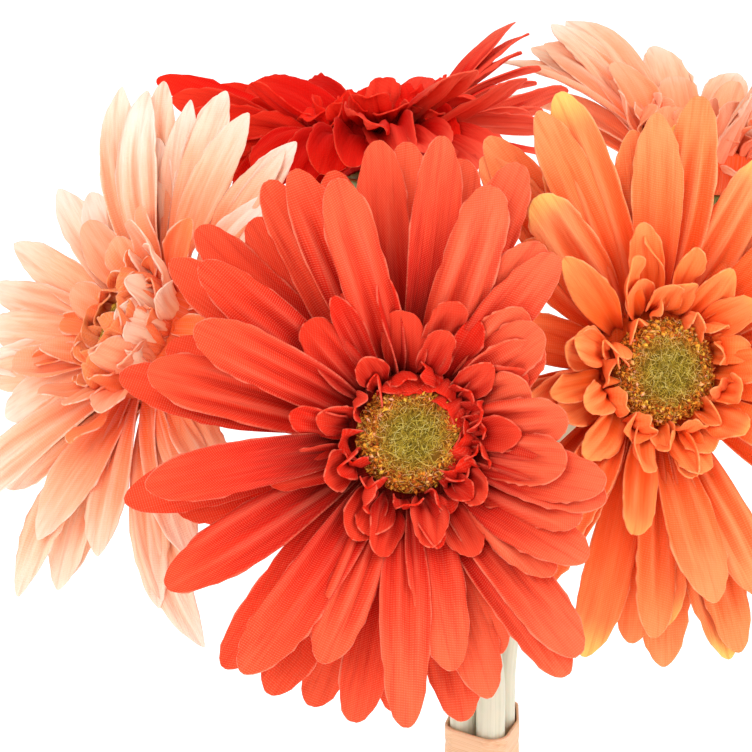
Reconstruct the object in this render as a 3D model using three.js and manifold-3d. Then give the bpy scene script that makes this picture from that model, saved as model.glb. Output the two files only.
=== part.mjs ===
// Five artificial gerberas, tied in a bunch and standing in a plain bottle vase.
// Millimetres, +Z up, origin at the centre of the vase's foot. The front of the bunch faces -Y.
import * as THREE from "three";
import { mergeVertices } from "three/addons/utils/BufferGeometryUtils.js";
import Module from "manifold-3d";

const wasm = await Module();
wasm.setup();

const DEG = Math.PI / 180;
const CLEAR = 0.3; // gap kept between pieces that touch

// ---- driving dimensions ------------------------------------------------------------------------

const VASE_HEIGHT = 145;
const VASE_FOOT_R = 31;
const VASE_BELLY_R = 44;
const VASE_NECK_R = 17.2;
const VASE_LIP_R = 21;
const VASE_WALL = 3.2;
const VASE_FLOOR = 5;
const VASE_ROWS = 9; // spans along the vase's side

const TIE_TOP = 178; // top edge of the raffia band
const TIE_HEIGHT = 14;
const TIE_THICK = 0.8;

const STEM_R = 3.3;
const STEM_SIDES = 8;

const DISC_R = 11.2; // the fuzzy centre of a bloom
const DISC_RISE = 5.5;
const HUB_R = 13.2; // the hub that the petal layers are stacked on
const HUB_BOTTOM = -7.4;
const HUB_TOP = 2;
const CALYX_BOTTOM = -21;
const PETAL_WIDTH = 10.6;
const PETAL_THICK = 0.8;

// ---- the frame the bunch is laid out in --------------------------------------------------------

// Right, up and near, as seen from the front and 20 degrees above the horizon.
const VIEW_TILT = 20 * DEG;
const RIGHT = new THREE.Vector3(1, 0, 0);
const UP = new THREE.Vector3(0, Math.sin(VIEW_TILT), Math.cos(VIEW_TILT));
const NEAR = new THREE.Vector3(0, -Math.cos(VIEW_TILT), Math.sin(VIEW_TILT));

const seen = ([right, up, near]) =>
  new THREE.Vector3()
    .addScaledVector(RIGHT, right)
    .addScaledVector(UP, up)
    .addScaledVector(NEAR, near);

const FRONT_CENTRE = new THREE.Vector3(-17, -50, TIE_TOP + 86);

// ---- blooms ------------------------------------------------------------------------------------

// centre and faces are in the seen frame, from the front bloom's centre. root is where its stem
// stands in the tie, foot where it stands on the vase's floor, and lead how far it runs straight
// under the bloom. lean is what the petals' slope gains on the bloom's right, top, left and bottom,
// reluctance how many degrees of drooping are worth one of rising when a petal has to give way,
// slim how wide the long petals are for their kind, and turned how many degrees at the most those
// to the right and to the left roll to lie broad to the viewer.
// tips and shortTips say where petals that show end, from the bloom's centre: right, up, and how
// high over the bloom's plane or, where sideOn, how near. A fourth value is the petal's curl.
const BLOOMS = [
  {
    name: "coral",
    colour: 0xf2402a,
    seed: 1,
    centre: [0, 0, 0],
    faces: [0.13, 0, 0.99],
    root: [1.7, -6.1],
    foot: [-9, 8],
    lead: 26,
    lean: [0, 0, 0, 0],
    reluctance: 1,
    slim: 1,
    turned: [0, 0],
    sideOn: false,
    tips: [],
    shortTips: [
      [-5, 33, 10], [-15, 28, 12], [-13, 29, 7], [-20, 22, 12], [9, 28, 14], [14, 23, 12],
      [-23, 4, 12], [-28, -8, 10], [14, -24, 10], [6, -22, 12], [-6, -23, 12], [-12, -20, 10],
      [21, -13, 9],
    ],
  },
  {
    name: "orange",
    colour: 0xf97a3c,
    seed: 2,
    centre: [51.5, 13.5, -20],
    faces: [0.3, -0.05, 0.95],
    root: [4, 0.5],
    foot: [11, -9],
    lead: 22,
    lean: [0, 0, 0, 0],
    reluctance: 1,
    slim: 1,
    turned: [10, 10],
    sideOn: false,
    tips: [
      [-21, 56, 10], [-25, 52, 12], [-22, 51, 6], [-35, 47, 4], [-37, 43, 0], [-23, 44, 8],
      [-26, 35, 14], [-28, 26, 8], [-1, 52, 14], [-6, 49, 8], [8, 56, 10], [5, 51, 4],
      [22, 44, 12], [28, 32, 8], [31, 22, 14], [-15, -59, 6], [-5, -57, 0], [-1, -55, 8],
      [2, -53, 4], [2, -62, -2], [11, -48, 14], [15, -60, 0], [18, -59, 5], [23, -47, 12],
    ],
    shortTips: [
      [-6, -34, 12], [-14, -17, 12], [-24, -5, 12], [-20, 22, 18], [-9, 23, 14], [-4, 30, 12],
      [-1, 28, 10], [2, 18, 13], [7, 25, 14], [15, 20, 13], [19, -5, 12], [11, -17, 9],
      [3, -17, 10], [8, -22, 8],
    ],
  },
  {
    name: "peach",
    colour: 0xfbb694,
    seed: 3,
    centre: [-54, 20, -26],
    faces: [-0.8, 0.38, 0.45],
    root: [-4, -2.1],
    foot: [-14, -7],
    lead: 26,
    lean: [-6, -6, 0, 0],
    reluctance: 1.4,
    slim: 0.86,
    turned: [38, 38],
    sideOn: false,
    tips: [
      [32, 44, 1], [21, 47, 3], [20, 51, 0], [15, 51, 4], [8, 51, 8], [5, 54, 7], [1, 43, 10],
      [-1, 53, 14, -50], [-7, 55, 16, -50], [37, 34, -1], [-14, 32, 12], [-21, 32, 13],
      [-7, 36, 10], [-31, 21, 13], [-38, 12, 14], [-39, 3, 14], [-38, -5, 12], [-33, -17, 9],
      [-32, -25, 6], [-32, -32, 2], [-27, -53, 6, -40], [-22, -41, 8], [-19, -52, -2],
      [-17, -50, -4], [-4, -60, -8, -60], [-3, -53, -8], [-9, -45, -4], [2, -44, -8], [5, -35, -6],
      [3, -24, 0],
    ],
    shortTips: [
      [10, 25, 8], [3, 12, 11], [7, 6, 7], [2, 2, 9], [-4, -4, 11], [-9, -14, 10], [-13, -23, 8],
      [-6, 8, 17], [-8, 1, 16], [-9, -4, 14], [-3, 12, 15], [-10, -9, 12], [-4, 17, 5], [-9, 8, 4],
      [-18, 5, 9], [-23, -4, 9], [-28, -7, 12], [-13, -3, 5],
    ],
  },
  {
    name: "red",
    colour: 0xd81408,
    seed: 4,
    centre: [-5, 64.5, -62],
    faces: [-0.2, 0.97, -0.1],
    root: [-2.4, 4.8],
    foot: [2, 15],
    lead: 26,
    lean: [22, -10, 6, -36],
    reluctance: 5,
    slim: 1,
    turned: [10, 45],
    sideOn: true,
    tips: [
      [30, 26, -24, -50], [34, 22, -24, -45], [31, 19, -20, -45], [35, 16, -20, -40],
      [34, 12, -14, -40], [41, 9, -8, -35], [32, 4, 2, -30], [35, 4, -2, -30], [35, 0, 10, -30],
      [36, -6, 20, -30], [-50, 13, -18], [-46, 9, -6], [-40, 13, -38], [-31, 13, -30, -50],
      [-21, 12, -36, -45], [-44, 5, 0], [-37, 5, -20], [-34, 9, -44], [-32, 2, 6], [-34, -4, 10],
      [-39, -7, 20], [-27, -10, 28, -60], [-19, -12, 34, -60], [-30, -14, 26, -60],
      [-12, -9, 40, -70], [-7, -8, 42, -70], [4, -9, 42, -70], [12, -8, 40, -70],
      [18, -11, 34, -60], [25, -10, 30, -50],
    ],
    shortTips: [
      [-17, 5, 10], [-18, -2, 14], [-7, 3, 22], [-3, 4, 24], [-11, 2, 18], [10, 3, 20],
      [15, -2, 18], [3, 4, 22], [17, 10, -8], [20, 9, 2], [16, 10, 8], [12, 9, -18], [4, 7, -24],
      [-8, 7, -20], [15, 15, -70], [11, 12, -76],
    ],
  },
  {
    name: "salmon",
    colour: 0xfd9a74,
    seed: 5,
    centre: [63.5, 61, -70],
    faces: [0.1, 0.97, 0.17],
    root: [4, 7.5],
    foot: [15, 9],
    lead: 12,
    lean: [6, 6, 32, -30],
    reluctance: 5,
    slim: 0.92,
    turned: [40, 20],
    sideOn: true,
    tips: [
      [-27, 34, -36, -45], [-30, 32, -32, -45], [-35, 28, -36, -45], [-32, 27, -30, -45],
      [-42, 23, -34, -45], [-42, 16, -32, -40], [-34, 11, -30, -40], [-21, 24, -40, -45],
      [-6, 27, -42, -40], [-4, 24, -40, -40], [13, 20, -44, -30], [9, 16, -40], [19, 3, -40],
    ],
    shortTips: [
      [-23, 6, 4], [-12, 10, 0], [-10, 12, -4], [2, 10, -10], [11, 0, 4],
    ],
  },
];

// Planes between neighbouring blooms, in the seen frame. The normal points to the first of the two,
// and each bloom's petals keep to its own side.
const WALLS = [
  { between: ["coral", "orange"], at: [28, 0, 10], normal: [-0.64, 0, 0.77] },
  { between: ["coral", "peach"], at: [-50, 0, -7], normal: [0.17, 0, 0.985] },
  { between: ["coral", "red"], at: [0, 50, -8], normal: [0, -0.1, 0.995] },
  { between: ["orange", "peach"], at: [-2, 0, -40], normal: [1, 0, 0] },
  { between: ["orange", "salmon"], at: [50, 60, -30], normal: [0, -0.15, 0.99] },
  { between: ["orange", "red"], at: [22, 50, -28], normal: [0.65, 0, 0.76] },
  { between: ["peach", "red"], at: [-38, 65, -34], normal: [-0.75, 0, 0.66] },
  { between: ["red", "salmon"], at: [40, 75, -76], normal: [-0.72, -0.1, 0.68] },
];

// Long petals of the front bloom, in layers from back to front: azimuth in degrees, counter-clockwise
// from the right as seen, and how far the tip reaches from the centre, in millimetres.
const MEASURED = [
  [
    [47, 42], [77, 58], [91, 60], [106, 56], [128, 54], [136, 60], [158, 52],
    [200, 49], [253, 58], [268, 56], [293, 50], [318, 48], [349, 45],
  ],
  [
    [69, 60], [98, 60], [120, 59], [145, 60], [169, 60], [191, 59], [242, 59],
    [259, 58], [281, 58], [307, 60], [331, 47], [24, 33],
  ],
  [
    [43, 39], [60, 48], [84, 60], [114, 58], [141, 55], [166, 55], [209, 58],
    [229, 59], [286, 54], [301, 57], [342, 47],
  ],
  [
    [8, 34], [38, 33], [56, 45], [72, 51], [108, 53], [153, 49], [188, 54],
    [234, 57], [247, 47], [265, 56], [279, 45], [321, 43], [342, 44],
  ],
];
// Layers of a bloom, back to front. Angles are above the bloom's own plane.
const LONG_LAYERS = [
  { count: 11, reach: 60, slope: 3, root: -6 },
  { count: 11, reach: 59, slope: 11, root: -4.4 },
  { count: 10, reach: 57, slope: 19, root: -2.8 },
  { count: 10, reach: 53, slope: 28, root: -1.2 },
];
const SHORT_LAYERS = [
  { count: 11, reach: 33, slope: 42, root: 0.3, width: 8.2 },
  { count: 10, reach: 23, slope: 62, root: 1.3, width: 6.4 },
];
const PETAL_CURL = -20; // how much a long petal's slope drops from root to tip
const ROLLED_BY = 0.6; // share of its length over which a petal that rolls has rolled

// A repeatable number from -0.5 to 0.5 for each set of keys.
function draw(...keys) {
  const mixed = keys.reduce((sum, key, i) => sum + key * (12.9898 + 65.2331 * i), 0.137);
  const swung = Math.sin(mixed) * 43758.5453;
  return swung - Math.floor(swung) - 0.5;
}

// ---- placing petals ----------------------------------------------------------------------------

function bloomFrame(bloom) {
  const axis = seen(bloom.faces).normalize();
  const guide = Math.abs(bloom.faces[1]) > 0.6 ? NEAR.clone().negate() : UP;
  const up = guide.clone().addScaledVector(axis, -guide.dot(axis)).normalize();
  const right = up.clone().cross(axis);
  return { centre: seen(bloom.centre).add(FRONT_CENTRE), axis, up, right };
}

// The directions out from the bloom's axis along a petal, across it, and out of its upper face.
function petalDirections(frame, azimuth, slope) {
  const outward = frame.right
    .clone()
    .multiplyScalar(Math.cos(azimuth))
    .addScaledVector(frame.up, Math.sin(azimuth));
  const across = frame.axis.clone().cross(outward);
  const upper = frame.axis
    .clone()
    .multiplyScalar(Math.cos(slope))
    .addScaledVector(outward, -Math.sin(slope));
  return { outward, across, upper };
}

// The point at share t of a petal's length, with the directions across it and out of its upper face.
function petalPoint(frame, petal, t) {
  const start = petal.slope - petal.curl / 2;
  const now = start + petal.curl * t;
  const out = (petal.length * (Math.sin(now) - Math.sin(start))) / petal.curl;
  const rise = (petal.length * (Math.cos(start) - Math.cos(now))) / petal.curl;
  const { outward, across, upper } = petalDirections(frame, petal.azimuth, now);
  const roll = petal.roll * Math.min(t / ROLLED_BY, 1);
  const turn = (u, v) => u.clone().multiplyScalar(Math.cos(roll)).addScaledVector(v, Math.sin(roll));
  return {
    point: frame.centre
      .clone()
      .addScaledVector(outward, petal.rootRadius + out)
      .addScaledVector(frame.axis, petal.rootHeight + rise)
      .addScaledVector(across, petal.sway * t * t),
    across: turn(across, upper),
    upper: turn(upper, across.clone().negate()),
  };
}

const widest = 0.58; // share of the length where a petal is widest
function petalWidth(petal, t) {
  const grown =
    t < widest
      ? 0.34 + 0.66 * Math.sin(((Math.PI / 2) * t) / widest)
      : Math.sqrt(Math.max(0, 1 - ((t - widest) / (1 - widest)) ** 2.4));
  return petal.width * grown;
}

// Petals keep WALL_GAP from the planes between blooms, and OBSTACLE_GAP from stems and calyces.
const WALL_GAP = 0.8;
const OBSTACLE_GAP = 1.4;
const BEND_STEP = 3 * DEG;
const BEND_TRIES = 30;
const BEND_LOWEST = -52 * DEG;
const BEND_HIGHEST = 86 * DEG;
const ROOT_LOWEST = -10 * DEG; // no petal leaves the hub at less than this slope

// Whether a point stands in the space over its own bloom's centre.
function overDisc(frame, point) {
  const from = point.clone().sub(frame.centre);
  const height = from.dot(frame.axis);
  return height > HUB_TOP && Math.sqrt(from.lengthSq() - height ** 2) < DISC_R + 1;
}

function isClear(frame, petal, walls, obstacles) {
  for (const t of [0.3, 0.5, 0.7, 0.88, 1]) {
    const { point, across } = petalPoint(frame, petal, t);
    for (const side of [-0.5, 0, 0.5]) {
      const p = point.clone().addScaledVector(across, side * petalWidth(petal, t));
      if (walls.some((w) => p.clone().sub(w.at).dot(w.normal) < WALL_GAP)) return false;
      if (overDisc(frame, p)) return false;
      if (obstacles.some((o) => p.distanceTo(o.point) < o.radius + OBSTACLE_GAP)) return false;
    }
  }
  return true;
}

// Bends a petal forward, lets it droop back, or shortens it, by the least that takes it clear of
// what is next to it. A turn forward counts for as many as reluctance says. A petal that nothing
// frees is left out.
const SHORTENED = [1, 0.82, 0.66];
const SHORTENING_COST = 110 * DEG; // the turn that losing the whole length would count for
const BENDS = Array.from({ length: BEND_TRIES }, (_, i) => i * BEND_STEP).flatMap((turn) =>
  SHORTENED.flatMap((share) => [-turn, turn].map((signed) => ({ turn: signed, share }))),
);

function bendClear(frame, petal, walls, obstacles, reluctance) {
  const cost = ({ turn, share }) =>
    Math.max(-turn, turn * reluctance) + (1 - share) * SHORTENING_COST;
  for (const { turn, share } of BENDS.toSorted((a, b) => cost(a) - cost(b))) {
    const slope = petal.slope + turn;
    if (slope < BEND_LOWEST || slope > BEND_HIGHEST) continue;
    const curl = Math.min(petal.curl, 2 * (slope - ROOT_LOWEST));
    const bent = { ...petal, slope, curl, length: petal.length * share };
    if (isClear(frame, bent, walls, obstacles)) return bent;
  }
  return null;
}

function leanAt(bloom, azimuth) {
  const [right, top, left, bottom] = bloom.lean;
  const across = Math.cos(azimuth);
  const along = Math.sin(azimuth);
  return (across > 0 ? right : left) * across ** 2 + (along > 0 ? top : bottom) * along ** 2;
}

function longPetals(bloom) {
  const measured = bloom.name === "coral" ? MEASURED : null;
  return LONG_LAYERS.flatMap((layer, k) => {
    const rows =
      measured?.[k] ??
      Array.from({ length: layer.count }, (_, i) => [
        (360 / layer.count) * (i + 0.5 * (k % 2) + 0.24 * draw(bloom.seed, k, i, 1)) + 9 * k,
        null,
      ]);
    return rows.map(([azimuth, measuredReach], i) => {
      const lean = leanAt(bloom, azimuth * DEG);
      const slope = (layer.slope + lean + 5 * draw(bloom.seed, k, i, 3)) * DEG;
      const reach = measured
        ? measuredReach / Math.cos(slope)
        : layer.reach + 4 * draw(bloom.seed, k, i, 2);
      return {
        azimuth: azimuth * DEG,
        slope,
        curl: (PETAL_CURL + 10 * draw(bloom.seed, k, i, 4)) * DEG,
        rootRadius: HUB_R - 3,
        rootHeight: layer.root,
        length: reach - HUB_R + 3,
        width: PETAL_WIDTH * bloom.slim * (1 + 0.16 * draw(bloom.seed, k, i, 5)),
        sway: 5 * draw(bloom.seed, k, i, 6),
        roll: 0,
        stations: k < 3 ? [0, 0.48, 0.85] : [0, 0.7],
      };
    });
  });
}

function shortPetals(bloom) {
  return SHORT_LAYERS.flatMap((layer, k) =>
    Array.from({ length: layer.count }, (_, i) => ({
      azimuth: (360 / layer.count) * (i + 0.4 * draw(bloom.seed, 7 + k, i, 1) + 0.5 * k) * DEG,
      slope: (layer.slope + 16 * draw(bloom.seed, 7 + k, i, 2)) * DEG,
      curl: (-26 + 14 * draw(bloom.seed, 7 + k, i, 3)) * DEG,
      rootRadius: HUB_R - 0.9,
      rootHeight: layer.root,
      length: (layer.reach - HUB_R) * (1 + 0.3 * draw(bloom.seed, 7 + k, i, 4)),
      width: layer.width * (1 + 0.2 * draw(bloom.seed, 7 + k, i, 5)),
      sway: 3 * draw(bloom.seed, 7 + k, i, 6),
      roll: 0,
      stations: [0, 0.6],
    })),
  );
}

// The petals, with those nearest to the given tips turned and cut so that they end there.
function aimed(frame, bloom, petals, tips) {
  const left = [...petals];
  const facing = new THREE.Vector3(...bloom.faces).normalize();
  const fromAzimuth = (petal, azimuth) => {
    const around = petal.azimuth - azimuth + Math.PI;
    return Math.abs(around - 2 * Math.PI * Math.floor(around / (2 * Math.PI)) - Math.PI);
  };
  const made = tips.map(([right, up, third, givenCurl]) => {
    const near = bloom.sideOn ? third : (third - facing.x * right - facing.y * up) / facing.z;
    const tip = seen([right, up, near]);
    const height = tip.dot(frame.axis);
    const azimuth = Math.atan2(tip.dot(frame.up), tip.dot(frame.right));
    const nearest = left.reduce((best, petal) =>
      fromAzimuth(petal, azimuth) < fromAzimuth(best, azimuth) ? petal : best,
    );
    left.splice(left.indexOf(nearest), 1);
    const out = Math.sqrt(tip.lengthSq() - height ** 2) - nearest.rootRadius;
    const rise = height - nearest.rootHeight;
    const slope = Math.atan2(rise, out);
    const wanted = givenCurl === undefined ? nearest.curl : givenCurl * DEG;
    const curl = Math.min(wanted, 2 * (slope - ROOT_LOWEST));
    const length = (Math.hypot(out, rise) * (curl / 2)) / Math.sin(curl / 2);
    return { ...nearest, azimuth, slope, curl, length, sway: 0 };
  });
  return [...made, ...left];
}

// The petal rolled about its length to lie broad to the viewer, by no more degrees than turned gives
// for petals to the right and to the left.
function turnedToView(frame, petal, turned) {
  const { outward, across, upper } = petalDirections(frame, petal.azimuth, petal.slope);
  const most = turned[outward.dot(RIGHT) > 0 ? 0 : 1];
  const needed = Math.atan(-across.dot(NEAR) / (upper.dot(NEAR) || 1e-9));
  return { ...petal, roll: Math.min(Math.max(needed, -most * DEG), most * DEG) };
}

// ---- solids ------------------------------------------------------------------------------------

function toManifold(geometry) {
  const bare = geometry.clone();
  bare.deleteAttribute("normal");
  bare.deleteAttribute("uv");
  const merged = mergeVertices(bare, 1e-4);
  const made = new wasm.Manifold(
    new wasm.Mesh({
      numProp: 3,
      vertProperties: new Float32Array(merged.attributes.position.array),
      triVerts: new Uint32Array(merged.index.array),
    }),
  );
  return made;
}

function toGeometry(solid) {
  const mesh = solid.getMesh();
  return new THREE.BufferGeometry()
    .setAttribute("position", new THREE.BufferAttribute(new Float32Array(mesh.vertProperties), 3))
    .setIndex(new THREE.BufferAttribute(new Uint32Array(mesh.triVerts), 1));
}

// Whether the diagonal from a to c of the face a, b, c, d stands further out than the other one.
function bulges(a, b, c, d) {
  const outward = b.clone().sub(a).cross(d.clone().sub(a));
  return a.clone().add(c).sub(b).sub(d).dot(outward) >= 0;
}

// Rings of equal point counts joined into one closed body, ending in a point or a flat cap. Faces
// are split along their outer diagonals, so that a twisted body doesn't cut into itself.
function loft(rings, tip) {
  const sides = rings[0].length;
  const points = rings.flat();
  const faces = [];
  for (let k = 0; k + 1 < rings.length; k++)
    for (let i = 0; i < sides; i++) {
      const a = k * sides + i;
      const b = k * sides + ((i + 1) % sides);
      if (bulges(points[a], points[b], points[b + sides], points[a + sides]))
        faces.push([a, b, b + sides], [a, b + sides, a + sides]);
      else faces.push([a, b, a + sides], [b, b + sides, a + sides]);
    }
  for (let i = 1; i + 1 < sides; i++) faces.push([0, i + 1, i]);
  const last = (rings.length - 1) * sides;
  if (tip) {
    points.push(tip);
    for (let i = 0; i < sides; i++)
      faces.push([last + i, last + ((i + 1) % sides), points.length - 1]);
  } else for (let i = 1; i + 1 < sides; i++) faces.push([last, last + i, last + i + 1]);
  return new THREE.BufferGeometry()
    .setFromPoints(points)
    .setIndex(faces.flat());
}

// A blade that is flat on top, with a ridge along its underside.
function bladeGeometry(frame, petal) {
  const rings = petal.stations.map((t) => {
    const { point, across, upper } = petalPoint(frame, petal, t);
    const half = petalWidth(petal, t) / 2;
    const lift = (0.05 + 0.1 * t) * half;
    const at = (side, up) =>
      point.clone().addScaledVector(across, side * half).addScaledVector(upper, up);
    return [at(-1, lift), at(0, lift - PETAL_THICK), at(1, lift)];
  });
  return loft(rings, petalPoint(frame, petal, 1).point);
}

// Keeps the one body that holds together, with the hollows that fusing sealed in it filled.
function oneBody(solid) {
  return solid.decompose().reduce((best, body) => (body.volume() > best.volume() ? body : best));
}

function lathe(profile, segments) {
  const points = profile.map(([r, z]) => new THREE.Vector2(r, z));
  return new THREE.LatheGeometry(points, segments).rotateX(Math.PI / 2);
}

// Turns a geometry modelled about +Z so that it stands in a bloom's frame.
function place(geometry, frame) {
  const turn = new THREE.Matrix4().makeBasis(frame.right, frame.up, frame.axis);
  return geometry.applyMatrix4(turn.setPosition(frame.centre));
}

function hubGeometry(frame) {
  const profile = [
    [0, HUB_BOTTOM],
    [HUB_R - 2.6, HUB_BOTTOM],
    [HUB_R, HUB_BOTTOM + 2],
    [HUB_R, HUB_TOP],
    [0, HUB_TOP],
  ];
  return place(lathe(profile, 16), frame);
}

// The centre: a low dome with its florets raised as rows of bumps.
function discGeometry(frame) {
  const around = 20;
  const rows = [
    [1, 0], [1, 0.42], [0.82, 0.74], [0.6, 0.9], [0.36, 0.98],
  ];
  const rings = rows.map(([share, height], k) =>
    Array.from({ length: around }, (_, i) => {
      const angle = ((i + 0.5 * (k % 2)) / around) * 2 * Math.PI;
      const bump = k > 0 && i % 2 ? 0.55 : 0;
      return new THREE.Vector3(
        DISC_R * share * Math.cos(angle),
        DISC_R * share * Math.sin(angle),
        HUB_TOP + CLEAR + DISC_RISE * height + bump,
      );
    }),
  );
  return place(loft(rings, new THREE.Vector3(0, 0, HUB_TOP + CLEAR + DISC_RISE)), frame);
}

const SEPALS = 8;
function calyxSolid(frame) {
  const profile = [
    [0, CALYX_BOTTOM],
    [4.6, CALYX_BOTTOM],
    [5.2, CALYX_BOTTOM + 4],
    [HUB_R - 3.2, HUB_BOTTOM - 3],
    [HUB_R - 3, HUB_BOTTOM - CLEAR],
    [0, HUB_BOTTOM - CLEAR],
  ];
  const cup = toManifold(place(lathe(profile, 10), frame));
  const sepals = Array.from({ length: SEPALS }, (_, i) => ({
    azimuth: ((i + 0.3 * draw(9, i)) / SEPALS) * 2 * Math.PI,
    slope: 44 * DEG,
    curl: -24 * DEG,
    rootRadius: 4.6,
    rootHeight: CALYX_BOTTOM + 5,
    length: 10.5,
    width: 4.8,
    sway: 0,
    roll: 0,
    stations: [0.1],
  }));
  return sepals.reduce((sum, s) => sum.add(toManifold(bladeGeometry(frame, s))), cup);
}

// ---- stems -------------------------------------------------------------------------------------

// From the vase's floor, through the tie, and over into the calyx.
function stemCurve(bloom, frame) {
  const [rx, ry] = bloom.root;
  const [fx, fy] = bloom.foot;
  const top = frame.centre.clone().addScaledVector(frame.axis, CALYX_BOTTOM - CLEAR);
  const lead = frame.axis.clone().multiplyScalar(-bloom.lead);
  const tieBottom = TIE_TOP - TIE_HEIGHT - 2;
  const tieAbove = TIE_TOP + 8;
  const path = new THREE.CurvePath();
  const point = (x, y, z) => new THREE.Vector3(x, y, z);
  path.add(
    new THREE.CubicBezierCurve3(
      point(fx, fy, VASE_FLOOR + CLEAR),
      point(fx * 0.9, fy * 0.9, 60),
      point(rx, ry, 118),
      point(rx, ry, tieBottom),
    ),
  );
  path.add(new THREE.LineCurve3(point(rx, ry, tieBottom), point(rx, ry, tieAbove)));
  path.add(
    new THREE.CubicBezierCurve3(
      point(rx, ry, tieAbove),
      point(rx, ry, tieAbove + 30),
      top.clone().add(lead),
      top,
    ),
  );
  return path;
}

function stemGeometry(curve) {
  const section = new THREE.Shape().absarc(0, 0, STEM_R, 0, 2 * Math.PI);
  const points = section.getPoints(STEM_SIDES).slice(0, STEM_SIDES);
  return new THREE.ExtrudeGeometry(new THREE.Shape(points), {
    steps: 13,
    extrudePath: curve,
    bevelEnabled: false,
  });
}

// ---- vase and tie ------------------------------------------------------------------------------

function vaseGeometry() {
  const h = VASE_HEIGHT;
  const w = VASE_WALL;
  const outer = new THREE.SplineCurve([
    new THREE.Vector2(VASE_FOOT_R, 3),
    new THREE.Vector2(VASE_BELLY_R - 3, 28),
    new THREE.Vector2(VASE_BELLY_R, 50),
    new THREE.Vector2(VASE_BELLY_R - 8, 78),
    new THREE.Vector2(VASE_NECK_R + 4.5, 100),
    new THREE.Vector2(VASE_NECK_R, 118),
    new THREE.Vector2(VASE_NECK_R, 129),
    new THREE.Vector2(VASE_LIP_R, h - 1.6),
  ]).getPoints(VASE_ROWS);
  const inner = outer.filter((p) => p.y > VASE_FLOOR + 3).map((p) => [p.x - w, p.y]);
  const profile = [
    [0, 0],
    [VASE_FOOT_R - 1.5, 0],
    ...outer.map((p) => [p.x, p.y]),
    [VASE_LIP_R - 0.4, h - 0.4],
    [VASE_LIP_R - w / 2, h],
    [VASE_LIP_R - w + 0.4, h - 0.4],
    ...inner.reverse(),
    [VASE_FOOT_R - w - 2, VASE_FLOOR],
    [0, VASE_FLOOR],
  ];
  return lathe(profile, 24);
}

// The tight outline round the stems where they are tied, at a distance from their surfaces.
function bundleOutline(distance, sides) {
  const roots = BLOOMS.map((b) => b.root);
  const reach = STEM_R + distance;
  return Array.from({ length: sides }, (_, i) => {
    const angle = (i / sides) * 2 * Math.PI;
    const way = [Math.cos(angle), Math.sin(angle)];
    const far = roots.reduce((best, p) =>
      p[0] * way[0] + p[1] * way[1] > best[0] * way[0] + best[1] * way[1] ? p : best,
    );
    return new THREE.Vector2(far[0] + reach * way[0], far[1] + reach * way[1]);
  });
}

function tieSolid() {
  const sides = 20;
  const ring = (height, from, grow) => {
    const shape = new THREE.Shape(bundleOutline(CLEAR + TIE_THICK + grow, sides));
    shape.holes.push(new THREE.Path(bundleOutline(CLEAR, sides).reverse()));
    return toManifold(
      new THREE.ExtrudeGeometry(shape, { depth: height, bevelEnabled: false }).translate(0, 0, from),
    );
  };
  const bottom = TIE_TOP - TIE_HEIGHT;
  const wound = ring(TIE_HEIGHT, bottom, 0);
  const front = Math.min(...BLOOMS.map((b) => b.root[1])) - STEM_R - CLEAR - TIE_THICK;
  const knotAt = new THREE.Vector3(1.5, front - 1.6, bottom + 4.6);
  const knot = new THREE.SphereGeometry(1, 10, 6).scale(4.6, 2.3, 3.8).translate(...knotAt.toArray());
  const tail = (side) => {
    const rings = [0, 0.5, 1].map((t) =>
      [[-1, -1], [1, -1], [1, 1], [-1, 1]].map(
        ([u, v]) =>
          new THREE.Vector3(
            knotAt.x + side * (1.5 + 9 * t) + 0.4 * v,
            knotAt.y - 0.4 + u * 0.45 - 0.8 * t * t,
            knotAt.z - 1 - 5 * t - 2.5 * t * t + v * 1.9,
          ),
      ),
    );
    if (side < 0) rings.forEach((r) => r.reverse());
    return toManifold(loft(rings));
  };
  return wound.add(toManifold(knot)).add(tail(1)).add(tail(-1));
}

// ---- assembly ----------------------------------------------------------------------------------

const group = new THREE.Group();
const add = (name, geometry, colour, roughness, metalness = 0) => {
  const material = new THREE.MeshStandardMaterial({ color: colour, roughness, metalness });
  const mesh = new THREE.Mesh(geometry, material);
  mesh.name = name;
  group.add(mesh);
};

const frames = BLOOMS.map(bloomFrame);
const curves = BLOOMS.map((bloom, i) => stemCurve(bloom, frames[i]));

// Spheres along the stem and calyx of each bloom, which petals are bent clear of.
const OWN_STEM_FROM = 30; // how far from its bloom's centre a stem is kept clear of its own petals
const guards = BLOOMS.map((bloom, i) => {
  const along = Array.from({ length: 41 }, (_, k) => curves[i].getPointAt(k / 40)).filter(
    (p) => p.z > TIE_TOP - 20,
  );
  const calyx = [-4, -9, -14, -19].map((h, k) => ({
    point: frames[i].centre.clone().addScaledVector(frames[i].axis, h),
    radius: [15, 16, 13, 7][k],
  }));
  return [...along.map((point) => ({ point, radius: STEM_R })), ...calyx];
});

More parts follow.
